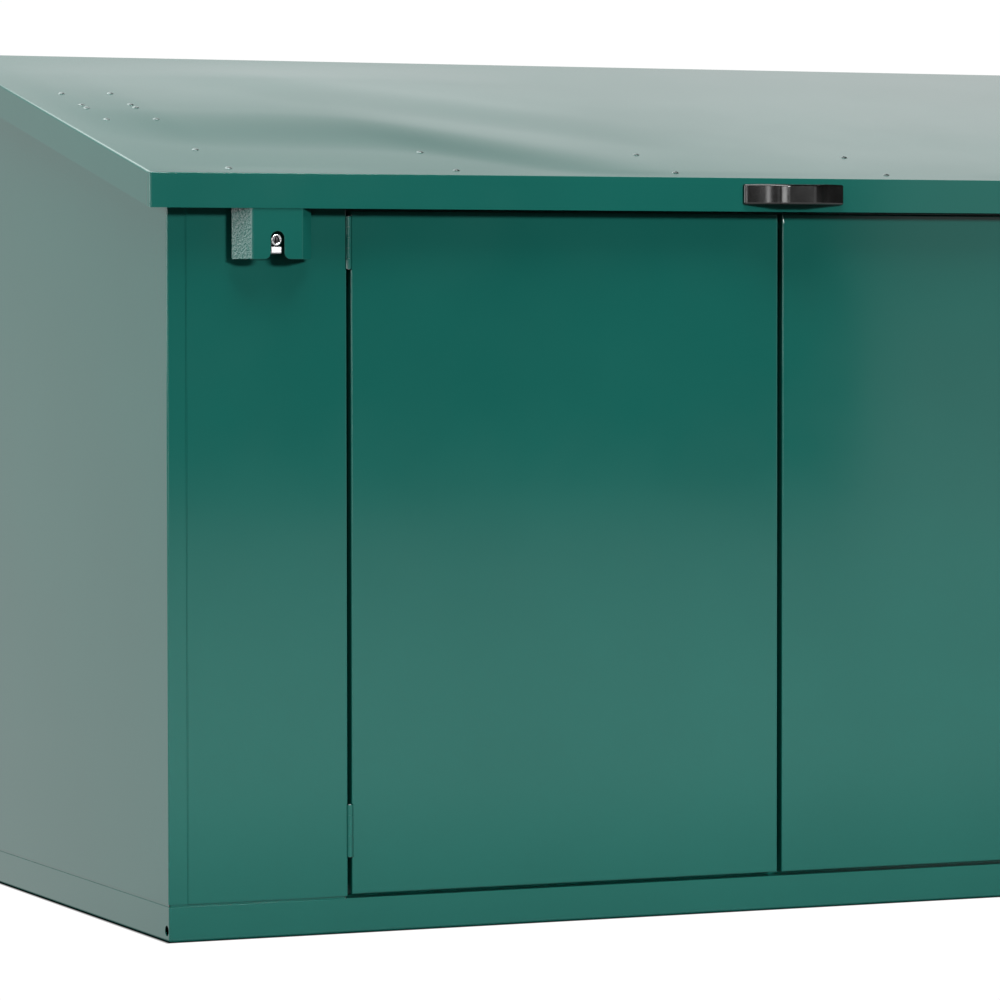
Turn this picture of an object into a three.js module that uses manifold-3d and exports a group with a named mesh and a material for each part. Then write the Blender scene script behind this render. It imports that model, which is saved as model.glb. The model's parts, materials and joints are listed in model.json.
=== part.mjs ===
// Outdoor storage locker: a folded sheet-steel cabinet with a sloping lift-up lid, a pair of
// outward-opening front doors, a lock at each end of the lid and a gas strut on each side.
//
// Millimetres. X runs along the front, to the right of someone facing the doors. Y runs from the
// front to the back and Z is up. The origin is the centre of the base, on the ground.

import * as THREE from 'three';
import { mergeVertices } from 'three/addons/utils/BufferGeometryUtils.js';
import Module from 'manifold-3d';

const wasm = await Module();
wasm.setup();

// ---------------------------------------------------------------- driving dimensions

const SHEET = 1.2;              // sheet steel of the casing
const PLATE = 2;                // brackets and joists
const CLEAR = 0.3;              // gap left between pieces that touch
const SNUG = 0.4;               // gap around the base tray's upstand

const BODY_WIDTH = 1922;
const BODY_DEPTH = 910;
const LID_WIDTH = 2000;
const LID_FRONT_OVERHANG = 40;
const LID_REAR_OVERHANG = 10;
const LID_FRONT_HEIGHT = 1084;  // top of the lid's front edge
const LID_RISE = 209.5;         // from the lid's front edge to its rear edge
const LIP = 49;                 // depth of the skirt around the lid

const PLINTH = 50;              // height of the base tray
const PANEL_FOOT = 53.5;        // lower edge of the fixed panels
const DOOR_FOOT = 55.5;
const DOOR_TOP = 1033;
const DOOR_DEPTH = 25;
const PILASTER_TOP = 1066;
const CORNER_STRIP = 29.4;      // visible width of the side panel's return on the front
const PILASTER_EDGE = 271;      // from the body's side to the pilaster's door edge
const HINGE_GAP = 6.5;          // between a pilaster and its door
const MEETING_GAP = 7.6;        // between the two doors

const DOOR_HINGE_RADIUS = 4.4;
const DOOR_HINGE_SPANS = { lower: [109.5, 184.5], upper: [950, 1025] };
const LID_HINGE_RADIUS = 4;
const LID_HINGE_LENGTH = 1800;
const LID_HINGE_KNUCKLES = 18;

const LOCK_INSET = 151.7;       // from the body's side to the lock's axis
const LOCK_HEIGHT = 991;
const BARREL_RADIUS = 8.75;
const PLUG_RADIUS = 5.5;
const COVER_FACE = 76;          // width of the lock cover's flat front
const COVER_SPREAD = 22;        // how far each wing runs outwards
const COVER_STANDOFF = 14;      // from the pilaster to the wings' ends
const COVER_FOOT = 963.5;
const COVER_SLOT = 20.8;
const LOCK_NOSE_SETBACK = 5.5;  // nose of the lock barrel, behind the lid's front edge
const LOCK_FOOT = { half: 8.6, low: 971 };
const LOCK_PLATE = { half: 17, low: 960, high: 1012 };

const HANDLE_WIDTH = 163;
const HANDLE_FLAT = 54;
const HANDLE_DEPTH = 32;
const HANDLE_HEIGHT = 28;
const HANDLE_FOOT = 1047.5;

const STRUT_ALONG_LID = 538;    // lid stud, measured down the lid from its front edge
const STRUT_DROP = 32;          // lid stud below the lid
const STRUT_CLOSED_ANGLE = 60;  // at the lid hinge, between the strut's two ends
const STRUT_PLANE = 61;         // from the body's side to the strut's axis
const STRUT_RADIUS = 10;
const ROD_RADIUS = 4;
const STRUT_PLATE = { width: 96, near: 398, far: 648 };  // near and far are measured down the lid

const UPSTAND_TOP = 78;         // top of the base tray's inner edge
const FLANGE = 30;
const FLOOR_UNDERSIDE = 40;
const JOIST_X = 640;
const DRAIN = { inset: 10.5, height: 16, radius: 7.5 };
const HEADER_FOOT = 1012;       // lower edge of the doors' top stop
const HINGE_RAIL_TOP = 1262;
const STIFFENER_DEPTH = 20;
const CATCH_X = 60;
const CATCH = { low: 990, high: 1030, poleLow: 992, poleHigh: 1010 };

// ---------------------------------------------------------------- derived places

const HALF_WIDTH = BODY_WIDTH / 2;
const HALF_LID = LID_WIDTH / 2;
const FRONT = -BODY_DEPTH / 2;
const BACK = BODY_DEPTH / 2;
const LID_FRONT = FRONT - LID_FRONT_OVERHANG;
const LID_BACK = BACK + LID_REAR_OVERHANG;
const LID_DEPTH = LID_BACK - LID_FRONT;
const SLOPE = Math.atan2(LID_RISE, LID_DEPTH);
const LAP = SHEET + CLEAR;                    // offset of a sheet that lies behind another
const LID_AXIS = { y: BACK + 5, z: LID_FRONT_HEIGHT + LID_RISE - LIP - 5.5 };
const DOOR_HINGE_X = HALF_WIDTH - PILASTER_EDGE - HINGE_GAP / 2;
const DOOR_HINGE_Y = FRONT + 1;
const DOOR_OUTER = HALF_WIDTH - PILASTER_EDGE - HINGE_GAP;
const OPENING_HALF = HALF_WIDTH - PILASTER_EDGE;
const DOOR_STOP = FRONT + DOOR_DEPTH + 4;
const LOCK_X = HALF_WIDTH - LOCK_INSET;
const STRUT_X = HALF_WIDTH - STRUT_PLANE;

// Height of the lid's underside at a given Y.
function lidUnderside(y) {
  return LID_FRONT_HEIGHT + (y - LID_FRONT) * Math.tan(SLOPE) - SHEET / Math.cos(SLOPE);
}

// ---------------------------------------------------------------- materials

const FINISHES = {
  paint: { color: 0x2f6f64, roughness: 0.38, metalness: 0.1 },
  zinc: { color: 0xb4b8ba, roughness: 0.35, metalness: 0.9 },
  chrome: { color: 0xdedede, roughness: 0.12, metalness: 1 },
  blackPlastic: { color: 0x17191a, roughness: 0.25, metalness: 0 },
  blackPaint: { color: 0x1b1b1c, roughness: 0.35, metalness: 0.2 },
  rubber: { color: 0x202020, roughness: 0.85, metalness: 0 },
  greyPlastic: { color: 0x3a3c3d, roughness: 0.6, metalness: 0 },
};

// ---------------------------------------------------------------- solids

function toSolid(geometry) {
  const bare = geometry.index ? geometry.toNonIndexed() : geometry.clone();
  bare.deleteAttribute('normal');
  bare.deleteAttribute('uv');
  const merged = mergeVertices(bare, 1e-4);
  return new wasm.Manifold(new wasm.Mesh({
    numProp: 3,
    vertProperties: new Float32Array(merged.attributes.position.array),
    triVerts: new Uint32Array(merged.index.array),
  }));
}

function toGeometry(solid) {
  const mesh = solid.getMesh();
  const geometry = new THREE.BufferGeometry();
  geometry.setAttribute('position', new THREE.BufferAttribute(mesh.vertProperties, 3));
  geometry.setIndex(new THREE.BufferAttribute(mesh.triVerts, 1));
  geometry.computeVertexNormals();
  return geometry;
}

function join(...geometries) {
  return toGeometry(geometries.map(toSolid).reduce((sum, solid) => sum.add(solid)));
}

function cut(geometry, ...tools) {
  return toGeometry(tools.map(toSolid).reduce((left, tool) => left.subtract(tool), toSolid(geometry)));
}

// A box between two corners.
function block(x0, x1, y0, y1, z0, z1) {
  const geometry = new THREE.BoxGeometry(x1 - x0, y1 - y0, z1 - z0);
  return geometry.translate((x0 + x1) / 2, (y0 + y1) / 2, (z0 + z1) / 2);
}

// A cylinder of the given radius whose axis runs from one point to another.
function rod(from, to, radius, sides = 16) {
  const start = new THREE.Vector3(...from);
  const run = new THREE.Vector3(...to).sub(start);
  const geometry = new THREE.CylinderGeometry(radius, radius, run.length(), sides);
  geometry.translate(0, run.length() / 2, 0);
  const turn = new THREE.Quaternion().setFromUnitVectors(new THREE.Vector3(0, 1, 0), run.normalize());
  return geometry.applyQuaternion(turn).translate(...start.toArray());
}

// Extrudes a shape so that its two axes lie along the axes named in the plane.
// 'XY' runs up Z, 'YZ' runs along X and 'XZ' runs along Y.
function extrude(shape, plane, from, to) {
  const geometry = new THREE.ExtrudeGeometry(shape, {
    depth: to - from,
    bevelEnabled: false,
    curveSegments: 6,
  });
  const x = new THREE.Vector3(1, 0, 0);
  const y = new THREE.Vector3(0, 1, 0);
  const z = new THREE.Vector3(0, 0, 1);
  const turn = new THREE.Matrix4();
  if (plane === 'YZ') {
    turn.makeBasis(y, z, x).setPosition(from, 0, 0);
  } else if (plane === 'XZ') {
    turn.makeBasis(x, z, y.negate()).setPosition(0, to, 0);
  } else {
    turn.setPosition(0, 0, from);
  }
  return geometry.applyMatrix4(turn);
}

function outline(points) {
  return new THREE.Shape(points.map(([u, v]) => new THREE.Vector2(u, v)));
}

// The closed outline of a folded sheet. The points follow one face of the sheet, and its thickness
// lies to the left of the direction of travel.
function foldedSheet(points, thickness = SHEET) {
  const face = points.map(([u, v]) => new THREE.Vector2(u, v));
  const normals = [];
  for (let i = 0; i < face.length - 1; i += 1) {
    const run = face[i + 1].clone().sub(face[i]).normalize();
    normals.push(new THREE.Vector2(-run.y, run.x));
  }
  const inner = face.map((point, i) => {
    const before = normals[Math.max(i - 1, 0)];
    const after = normals[Math.min(i, normals.length - 1)];
    const mitre = before.clone().add(after).normalize();
    return point.clone().add(mitre.multiplyScalar(thickness / mitre.dot(after)));
  });
  return new THREE.Shape([...face, ...inner.reverse()]);
}

// Mirrors a geometry left to right.
function mirrored(geometry) {
  const copy = geometry.index ? geometry.toNonIndexed() : geometry.clone();
  const position = copy.attributes.position;
  for (let i = 0; i < position.count; i += 3) {
    const first = new THREE.Vector3().fromBufferAttribute(position, i);
    const second = new THREE.Vector3().fromBufferAttribute(position, i + 1);
    const third = new THREE.Vector3().fromBufferAttribute(position, i + 2);
    position.setXYZ(i, -first.x, first.y, first.z);
    position.setXYZ(i + 1, -third.x, third.y, third.z);
    position.setXYZ(i + 2, -second.x, second.y, second.z);
  }
  return mergeVertices(stripped(copy), 1e-4);
}

function stripped(geometry) {
  geometry.deleteAttribute('normal');
  geometry.deleteAttribute('uv');
  return geometry;
}

// ---------------------------------------------------------------- assembly helpers

const locker = new THREE.Group();

function place(name, geometry, finish, parent = locker) {
  geometry.computeVertexNormals();
  const mesh = new THREE.Mesh(geometry, new THREE.MeshStandardMaterial(FINISHES[finish]));
  mesh.name = name;
  parent.add(mesh);
}

// Makes NAME_left from a geometry drawn on the left side, and NAME_right from its mirror image.
function placePair(name, geometry, finish, parent = locker) {
  place(`${name}_left`, geometry, finish, parent);
  place(`${name}_right`, mirrored(geometry), finish, parent);
}

// A rectangular ring of sheet standing on its edge.
function ring(halfX, halfY, z0, z1, thickness) {
  const outer = block(-halfX, halfX, -halfY, halfY, z0, z1);
  const inner = block(-halfX + thickness, halfX - thickness, -halfY + thickness, halfY - thickness,
    z0 - 1, z1 + 1);
  return cut(outer, inner);
}

// ---------------------------------------------------------------- base and floor

function baseFrame() {
  const upstandX = HALF_WIDTH - SHEET - SNUG;
  const upstandY = BODY_DEPTH / 2 - LAP - SHEET - SNUG;
  const ledgeWidth = BODY_DEPTH / 2 - upstandY + SHEET;
  const web = ring(HALF_WIDTH, BODY_DEPTH / 2, 0, PLINTH, SHEET);
  const foot = ring(HALF_WIDTH, BODY_DEPTH / 2, 0, SHEET, FLANGE);
  const ledge = ring(HALF_WIDTH, BODY_DEPTH / 2, PLINTH - SHEET, PLINTH, ledgeWidth);
  const upstand = ring(upstandX, upstandY, PLINTH - SHEET, UPSTAND_TOP, SHEET);
  const doorway = block(-OPENING_HALF - 3, OPENING_HALF + 3, FRONT - 1, FRONT + 12, PLINTH, UPSTAND_TOP + 1);
  const sill = block(-OPENING_HALF - 3, OPENING_HALF + 3, FRONT + 1, DOOR_STOP, PLINTH - SHEET, PLINTH);
  const stop = block(-OPENING_HALF + 8, OPENING_HALF - 8, DOOR_STOP - SHEET, DOOR_STOP,
    PLINTH - SHEET, UPSTAND_TOP);
  const drainY = FRONT + DRAIN.inset;
  const drains = rod([-HALF_WIDTH - 5, drainY, DRAIN.height], [HALF_WIDTH + 5, drainY, DRAIN.height],
    DRAIN.radius, 20);
  return join(cut(join(web, foot, ledge, upstand), doorway, drains), sill, stop);
}

// A U-shaped joist with its web on the ground and a short lip along the top of each leg.
function joist(x) {
  const half = 30;
  const top = FLOOR_UNDERSIDE - CLEAR;
  const section = foldedSheet([
    [x - half + 12, top], [x - half, top], [x - half, 0], [x + half, 0], [x + half, top],
    [x + half - 12, top],
  ], PLATE);
  // Joists run from front to back between the base frame's flanges.
  return extrude(section, 'XZ', FRONT + FLANGE + CLEAR, BACK - FLANGE - CLEAR);
}

// A shallow floor tray with its edges turned up on three sides and a low edge where the two trays
// meet. It reaches forward behind the pilaster, beside the doorway.
function floorTray() {
  const rim = UPSTAND_TOP - 12;
  const tray = floorTrayBlock(0, FLOOR_UNDERSIDE, rim);
  const hollow = floorTrayBlock(SHEET, FLOOR_UNDERSIDE + SHEET, rim + 1);
  const meetingEdge = block(-10, 1, FRONT, BACK, FLOOR_UNDERSIDE + 14, rim + 1);
  return cut(tray, hollow, meetingEdge);
}

function floorTrayBlock(inset, z0, z1) {
  const outer = -HALF_WIDTH + 5 + inset;
  const rear = BACK - 5 - inset;
  return join(
    block(outer, -CLEAR - inset, DOOR_STOP + CLEAR + inset, rear, z0, z1),
    block(outer, -OPENING_HALF - 3 - inset, FRONT + 5 + inset, rear, z0, z1),
  );
}

place('base_frame', baseFrame(), 'paint');
place('floor_joist_left', joist(-JOIST_X), 'zinc');
place('floor_joist_centre', joist(0), 'zinc');
place('floor_joist_right', joist(JOIST_X), 'zinc');
placePair('floor_tray', floorTray(), 'zinc');

// ---------------------------------------------------------------- fixed casing

// Side panel: a flat web whose front and rear edges return behind the pilaster and the back panel,
// with a flange turned in along the sloping top.
function sidePanel() {
  const returnWidth = 50;
  const yFront = FRONT + LAP;
  const yBack = BACK - LAP;
  const section = foldedSheet([
    [-HALF_WIDTH + returnWidth, yBack], [-HALF_WIDTH, yBack], [-HALF_WIDTH, yFront],
    [-HALF_WIDTH + returnWidth, yFront],
  ]);
  const blank = extrude(section, 'XY', PANEL_FOOT, lidUnderside(yBack) + 5);
  const drop = 10;
  const aboveSlope = outline([
    [yFront - 5, lidUnderside(yFront - 5) - drop], [yBack + 5, lidUnderside(yBack + 5) - drop],
    [yBack + 5, 1500], [yFront - 5, 1500],
  ]);
  const trimmed = cut(blank, extrude(aboveSlope, 'YZ', -HALF_WIDTH - 5, -HALF_WIDTH + 200));
  const rise = SHEET / Math.cos(SLOPE);
  const flange = outline([
    [yFront, lidUnderside(yFront) - drop - rise], [yBack, lidUnderside(yBack) - drop - rise],
    [yBack, lidUnderside(yBack) - drop], [yFront, lidUnderside(yFront) - drop],
  ]);
  return join(trimmed, extrude(flange, 'YZ', -HALF_WIDTH, -HALF_WIDTH + 25));
}

// Back panel: half of the back, with a standing seam where the two halves meet. The seam stops
// above the base tray's upstand.
function backPanel() {
  const section = foldedSheet([
    [-CLEAR / 2, BACK - 22], [-CLEAR / 2, BACK], [-HALF_WIDTH + CORNER_STRIP, BACK],
  ]);
  const panel = extrude(section, 'XY', PANEL_FOOT, lidUnderside(BACK) - 10);
  return cut(panel, block(-10, 1, BACK - 30, BACK - SHEET - 1, 0, UPSTAND_TOP + 4));
}

// Pilaster: the fixed front panel beside the doors, turned in along its door edge. It is notched
// for the hinge knuckles and pierced for the lock.
function pilaster() {
  const section = foldedSheet([
    [-HALF_WIDTH + CORNER_STRIP, FRONT], [-OPENING_HALF, FRONT], [-OPENING_HALF, DOOR_STOP - 1],
  ]);
  const panel = extrude(section, 'XY', PANEL_FOOT, PILASTER_TOP);
  return cut(panel, ...hingeNotches(), lockOutline(1));
}

// Clearance for the door hinge knuckles on the left of the doorway.
function hingeNotches() {
  const reach = DOOR_HINGE_RADIUS + 0.6;
  return Object.values(DOOR_HINGE_SPANS).map(([low, high]) => block(
    -DOOR_HINGE_X - reach, -DOOR_HINGE_X + reach, FRONT - 5, DOOR_HINGE_Y + reach, low - 1, high + 1,
  ));
}

// Header: closes the front above the doors, stops them at the top and ties the pilasters together.
function header() {
  const half = OPENING_HALF - CLEAR;
  const section = foldedSheet([
    [DOOR_STOP - SHEET, HEADER_FOOT], [DOOR_STOP - SHEET, DOOR_TOP + 3],
    [FRONT + SHEET, DOOR_TOP + 3], [FRONT + SHEET, PILASTER_TOP], [FRONT + SHEET + 24, PILASTER_TOP],
  ].reverse());
  return extrude(section, 'YZ', -half, half);
}

// Hinge rail: an angle inside the top of the back, behind the lid hinge.
function hingeRail() {
  const half = HALF_WIDTH - 55;
  const y = BACK - SHEET - CLEAR;
  const top = HINGE_RAIL_TOP;
  const section = foldedSheet([[y - 35, top], [y, top], [y, top - 70]].reverse(), PLATE);
  const rail = extrude(section, 'YZ', -half, half);
  const seam = block(-4, 4, y - 24, y + 1, top - 80, top + 1);
  return cut(rail, seam);
}

// Rubber buffers on the side panels' top flanges, which the closed lid rests on.
function lidBuffer(y) {
  const x = -HALF_WIDTH + 14;
  const bottom = lidUnderside(y) - 10;
  const puck = rod([x, y, bottom - 8], [x, y, bottom + 16], 8, 16);
  const above = outline([
    [y - 20, lidUnderside(y - 20) - CLEAR], [y + 20, lidUnderside(y + 20) - CLEAR],
    [y + 20, bottom + 60], [y - 20, bottom + 60],
  ]);
  const below = outline([
    [y - 20, lidUnderside(y - 20) - 10 + CLEAR], [y - 20, bottom - 60],
    [y + 20, bottom - 60], [y + 20, lidUnderside(y + 20) - 10 + CLEAR],
  ]);
  return cut(puck, extrude(above, 'YZ', x - 20, x + 20), extrude(below, 'YZ', x - 20, x + 20));
}

// Magnetic catch behind the header's stop. Its pole reaches forward below the stop.
function doorCatch() {
  const body = block(-CATCH_X - 24, -CATCH_X + 24, DOOR_STOP + CLEAR, DOOR_STOP + 16, CATCH.low, CATCH.high);
  const pole = block(-CATCH_X - 19, -CATCH_X + 19, FRONT + DOOR_DEPTH + 0.5, DOOR_STOP + 2,
    CATCH.poleLow, CATCH.poleHigh);
  return join(body, pole);
}

placePair('side_panel', sidePanel(), 'paint');
placePair('back_panel', backPanel(), 'paint');
placePair('pilaster', pilaster(), 'paint');
place('front_header', header(), 'paint');
place('hinge_rail', hingeRail(), 'zinc');
placePair('lid_buffer_front', lidBuffer(FRONT + 60), 'rubber');
placePair('lid_buffer_rear', lidBuffer(BACK - 60), 'rubber');
placePair('door_catch', doorCatch(), 'greyPlastic');

// ---------------------------------------------------------------- doors

// A door: a pan with a turned-in edge on all four sides, notched for its hinge knuckles.
function door() {
  const x0 = -DOOR_OUTER;
  const x1 = -MEETING_GAP / 2;
  const pan = block(x0, x1, FRONT, FRONT + DOOR_DEPTH, DOOR_FOOT, DOOR_TOP);
  const hollow = block(x0 + SHEET, x1 - SHEET, FRONT + SHEET, FRONT + DOOR_DEPTH + 1,
    DOOR_FOOT + SHEET, DOOR_TOP - SHEET);
  return cut(pan, hollow, ...hingeNotches());
}

// A top-hat stiffener down the middle of a door, inside it.
function doorStiffener() {
  const x = -(DOOR_OUTER + MEETING_GAP / 2) / 2;
  const yFace = FRONT + SHEET + CLEAR;
  const section = foldedSheet([
    [x + 50, yFace], [x + 30, yFace], [x + 24, yFace + 20], [x - 24, yFace + 20], [x - 30, yFace],
    [x - 50, yFace],
  ].reverse());
  return extrude(section, 'XY', DOOR_FOOT + 12, DOOR_TOP - 12);
}

// Strike plate of the magnetic catch, hung from the door's top edge.
function doorStrike() {
  const top = DOOR_TOP - SHEET - CLEAR;
  const face = FRONT + DOOR_DEPTH;
  const section = foldedSheet([[face, CATCH.low], [face, top], [face - 18, top]], PLATE);
  return extrude(section, 'YZ', -CATCH_X - 22, -CATCH_X + 22);
}

placePair('door', door(), 'paint');
placePair('door_stiffener', doorStiffener(), 'paint');
placePair('door_strike', doorStrike(), 'zinc');

// Knuckle rings along a hinge axis, taking every second place of the given number.
function knuckles(count, first, length, makeRing) {
  const pitch = length / count;
  const gap = 0.25;
  const rings = [];
  for (let i = first; i < count; i += 2) {
    rings.push(makeRing(i * pitch + gap, (i + 1) * pitch - gap));
  }
  return rings;
}

function ringShape(x, y, radius, bore) {
  const shape = new THREE.Shape();
  shape.absarc(x, y, radius, 0, 2 * Math.PI, false);
  const hole = new THREE.Path();
  hole.absarc(x, y, bore, 0, 2 * Math.PI, true);
  shape.holes.push(hole);
  return shape;
}

const PIN_RADIUS = 2.3;
const PIN_BORE = 2.6;
const LEAF = 2;

// One leaf of a door hinge. The leaf lies flat against the door's edge or the pilaster's return.
function doorHingeLeaf([low, high], moving) {
  const rings = knuckles(5, moving ? 1 : 0, high - low, (from, to) => extrude(
    ringShape(-DOOR_HINGE_X, DOOR_HINGE_Y, DOOR_HINGE_RADIUS, PIN_BORE), 'XY', low + from, low + to,
  ));
  const side = moving ? 1 : -1;
  const outer = -DOOR_HINGE_X + side * (HINGE_GAP / 2 - CLEAR);
  const inner = outer - side * (LEAF - 1.2);
  const plate = block(Math.min(outer, inner), Math.max(outer, inner), DOOR_HINGE_Y + 3, FRONT + 24,
    low + 0.25, high - 0.25);
  const pinch = rod([-DOOR_HINGE_X, DOOR_HINGE_Y, low - 1], [-DOOR_HINGE_X, DOOR_HINGE_Y, high + 1],
    DOOR_HINGE_RADIUS + 0.3, 24);
  return join(cut(plate, pinch), ...rings.map((geometry) => join(geometry, tail(geometry, outer, inner))));
}

// Carries a knuckle into its leaf.
function tail(knuckle, outer, inner) {
  knuckle.computeBoundingBox();
  const { min, max } = knuckle.boundingBox;
  return cut(
    block(Math.min(outer, inner), Math.max(outer, inner), DOOR_HINGE_Y + 0.5, FRONT + 10, min.z, max.z),
    rod([-DOOR_HINGE_X, DOOR_HINGE_Y, min.z - 1], [-DOOR_HINGE_X, DOOR_HINGE_Y, max.z + 1],
      PIN_BORE + 0.1, 16),
  );
}

function doorHingePin([low, high]) {
  return rod([-DOOR_HINGE_X, DOOR_HINGE_Y, low - 0.5], [-DOOR_HINGE_X, DOOR_HINGE_Y, high + 0.5],
    PIN_RADIUS, 12);
}

for (const [level, span] of Object.entries(DOOR_HINGE_SPANS)) {
  placePair(`door_hinge_${level}_fixed_leaf`, doorHingeLeaf(span, false), 'paint');
  placePair(`door_hinge_${level}_door_leaf`, doorHingeLeaf(span, true), 'paint');
  placePair(`door_hinge_${level}_pin`, doorHingePin(span), 'zinc');
}

// ---------------------------------------------------------------- lid

// Pieces under the lid are drawn in the lid's own frame: Y runs up the slope from the front edge,
// and Z is square to the top, whose outer face is Z = 0.
const lidFrame = new THREE.Group();
lidFrame.position.set(0, LID_FRONT, LID_FRONT_HEIGHT);
lidFrame.rotation.x = SLOPE;
locker.add(lidFrame);

const LID_INNER = -SHEET - CLEAR;

// Lid: a sloping top with an upright skirt on all four sides.
function lidPanel() {
  const drop = SHEET / Math.cos(SLOPE);
  const backTop = LID_FRONT_HEIGHT + LID_RISE;
  const outer = outline([
    [LID_FRONT, LID_FRONT_HEIGHT - LIP], [LID_BACK, backTop - LIP], [LID_BACK, backTop],
    [LID_FRONT, LID_FRONT_HEIGHT],
  ]);
  const frontInner = LID_FRONT + SHEET;
  const backInner = LID_BACK - SHEET;
  const top = (y) => LID_FRONT_HEIGHT + (y - LID_FRONT) * Math.tan(SLOPE) - drop;
  const inner = outline([
    [frontInner, LID_FRONT_HEIGHT - LIP - 20], [backInner, backTop - LIP - 20], [backInner, top(backInner)],
    [frontInner, top(frontInner)],
  ]);
  return cut(extrude(outer, 'YZ', -HALF_LID, HALF_LID),
    extrude(inner, 'YZ', -HALF_LID + SHEET, HALF_LID - SHEET));
}

// A wide top-hat channel under the front of the lid.
function lidStiffener() {
  const half = HALF_WIDTH - 36;
  const section = foldedSheet([
    [24, LID_INNER], [48, LID_INNER], [54, LID_INNER - STIFFENER_DEPTH], [158, LID_INNER - STIFFENER_DEPTH],
    [164, LID_INNER], [188, LID_INNER],
  ].reverse());
  return extrude(section, 'YZ', -half, half);
}

// Mounting plate of a gas strut, with a hanging tab that carries the strut's stud.
function strutPlate() {
  const x0 = -HALF_WIDTH + 27;
  const plate = block(x0, x0 + STRUT_PLATE.width, STRUT_PLATE.near, STRUT_PLATE.far,
    LID_INNER - PLATE, LID_INNER);
  const tabX = -STRUT_X + 14;
  const tab = block(tabX, tabX + PLATE, STRUT_ALONG_LID - 18, STRUT_ALONG_LID + 18,
    -STRUT_DROP - SHEET - 12, LID_INNER - 0.5);
  const studZ = -STRUT_DROP - SHEET;
  const stud = rod([-STRUT_X + 5.5, STRUT_ALONG_LID, studZ], [tabX + 5, STRUT_ALONG_LID, studZ], 4, 16);
  return join(plate, tab, stud);
}

place('lid_panel', lidPanel(), 'paint');
place('lid_front_stiffener', lidStiffener(), 'paint', lidFrame);
placePair('lid_strut_plate', strutPlate(), 'zinc', lidFrame);

// Lid pull: a plastic bow with a flat front, slanting legs and rounded feet.
function lidHandle() {
  const half = HANDLE_WIDTH / 2;
  const flat = HANDLE_FLAT / 2;
  const back = LID_FRONT - CLEAR;
  const front = back - HANDLE_DEPTH;
  const wall = 8;
  const shape = new THREE.Shape();
  shape.moveTo(-half, back);
  shape.lineTo(-half, back - 6);
  shape.quadraticCurveTo(-half + 1.5, back - 12.5, -half + 11, back - 17);
  shape.lineTo(-flat - 6.5, front + 1.6);
  shape.quadraticCurveTo(-flat - 1, front, -flat + 5, front);
  shape.lineTo(flat - 5, front);
  shape.quadraticCurveTo(flat + 1, front, flat + 6.5, front + 1.6);
  shape.lineTo(half - 11, back - 17);
  shape.quadraticCurveTo(half - 1.5, back - 12.5, half, back - 6);
  shape.lineTo(half, back);
  shape.lineTo(half - 20, back);
  shape.lineTo(flat, front + wall);
  shape.lineTo(-flat, front + wall);
  shape.lineTo(-half + 20, back);
  shape.closePath();
  return extrude(shape, 'XY', HANDLE_FOOT, HANDLE_FOOT + HANDLE_HEIGHT);
}

place('lid_handle', lidHandle(), 'blackPlastic');

// ---------------------------------------------------------------- locks

// Lock cover: hangs from the lid in front of a lock, with wings that run back to the pilaster and
// a slot, flared at its mouth, that drops over the lock's barrel.
function lockCover() {
  const x = -LOCK_X;
  const face = LID_FRONT + SHEET + CLEAR;
  const wingEnd = FRONT - COVER_STANDOFF;
  const halfFace = COVER_FACE / 2;
  const section = foldedSheet([
    [x - halfFace - COVER_SPREAD, wingEnd], [x - halfFace, face], [x + halfFace, face],
    [x + halfFace + COVER_SPREAD, wingEnd],
  ], 1.5);
  const shell = extrude(section, 'XY', COVER_FOOT, LID_FRONT_HEIGHT - 8);
  const half = COVER_SLOT / 2;
  const flare = 9;
  const slot = new THREE.Shape();
  slot.moveTo(x - half - flare, COVER_FOOT);
  slot.absarc(x - half - flare, COVER_FOOT + flare, flare, -Math.PI / 2, 0, false);
  slot.absarc(x, LOCK_HEIGHT + 1.6, half, Math.PI, 0, true);
  slot.absarc(x + half + flare, COVER_FOOT + flare, flare, Math.PI, 1.5 * Math.PI, false);
  slot.lineTo(x + half + flare, COVER_FOOT - 5);
  slot.lineTo(x - half - flare, COVER_FOOT - 5);
  slot.closePath();
  return cut(shell, extrude(slot, 'XZ', face - 5, face + 8));
}

// Outline of the lock barrel and the foot below it, grown by a margin, as a cutting tool.
function lockOutline(margin) {
  return join(
    rod([-LOCK_X, FRONT - 5, LOCK_HEIGHT], [-LOCK_X, FRONT + 5, LOCK_HEIGHT], BARREL_RADIUS + margin, 24),
    block(-LOCK_X - LOCK_FOOT.half - margin, -LOCK_X + LOCK_FOOT.half + margin, FRONT - 5, FRONT + 5,
      LOCK_FOOT.low - margin, LOCK_HEIGHT),
  );
}

// Lock body: barrel and foot in front of the pilaster, and a fixing plate behind it.
function lockBody() {
  const nose = LID_FRONT + LOCK_NOSE_SETBACK;
  const tailEnd = FRONT + 26;
  const barrel = rod([-LOCK_X, nose, LOCK_HEIGHT], [-LOCK_X, tailEnd, LOCK_HEIGHT], BARREL_RADIUS, 24);
  const foot = block(-LOCK_X - LOCK_FOOT.half, -LOCK_X + LOCK_FOOT.half, nose + 1, tailEnd - 8,
    LOCK_FOOT.low, LOCK_HEIGHT - 7);
  const plate = block(-LOCK_X - LOCK_PLATE.half, -LOCK_X + LOCK_PLATE.half, FRONT + LAP, FRONT + LAP + 3,
    LOCK_PLATE.low, LOCK_PLATE.high);
  const bore = rod([-LOCK_X, nose - 1, LOCK_HEIGHT], [-LOCK_X, tailEnd + 1, LOCK_HEIGHT],
    PLUG_RADIUS + 0.3, 24);
  return cut(join(barrel, foot, plate), bore);
}

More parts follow.
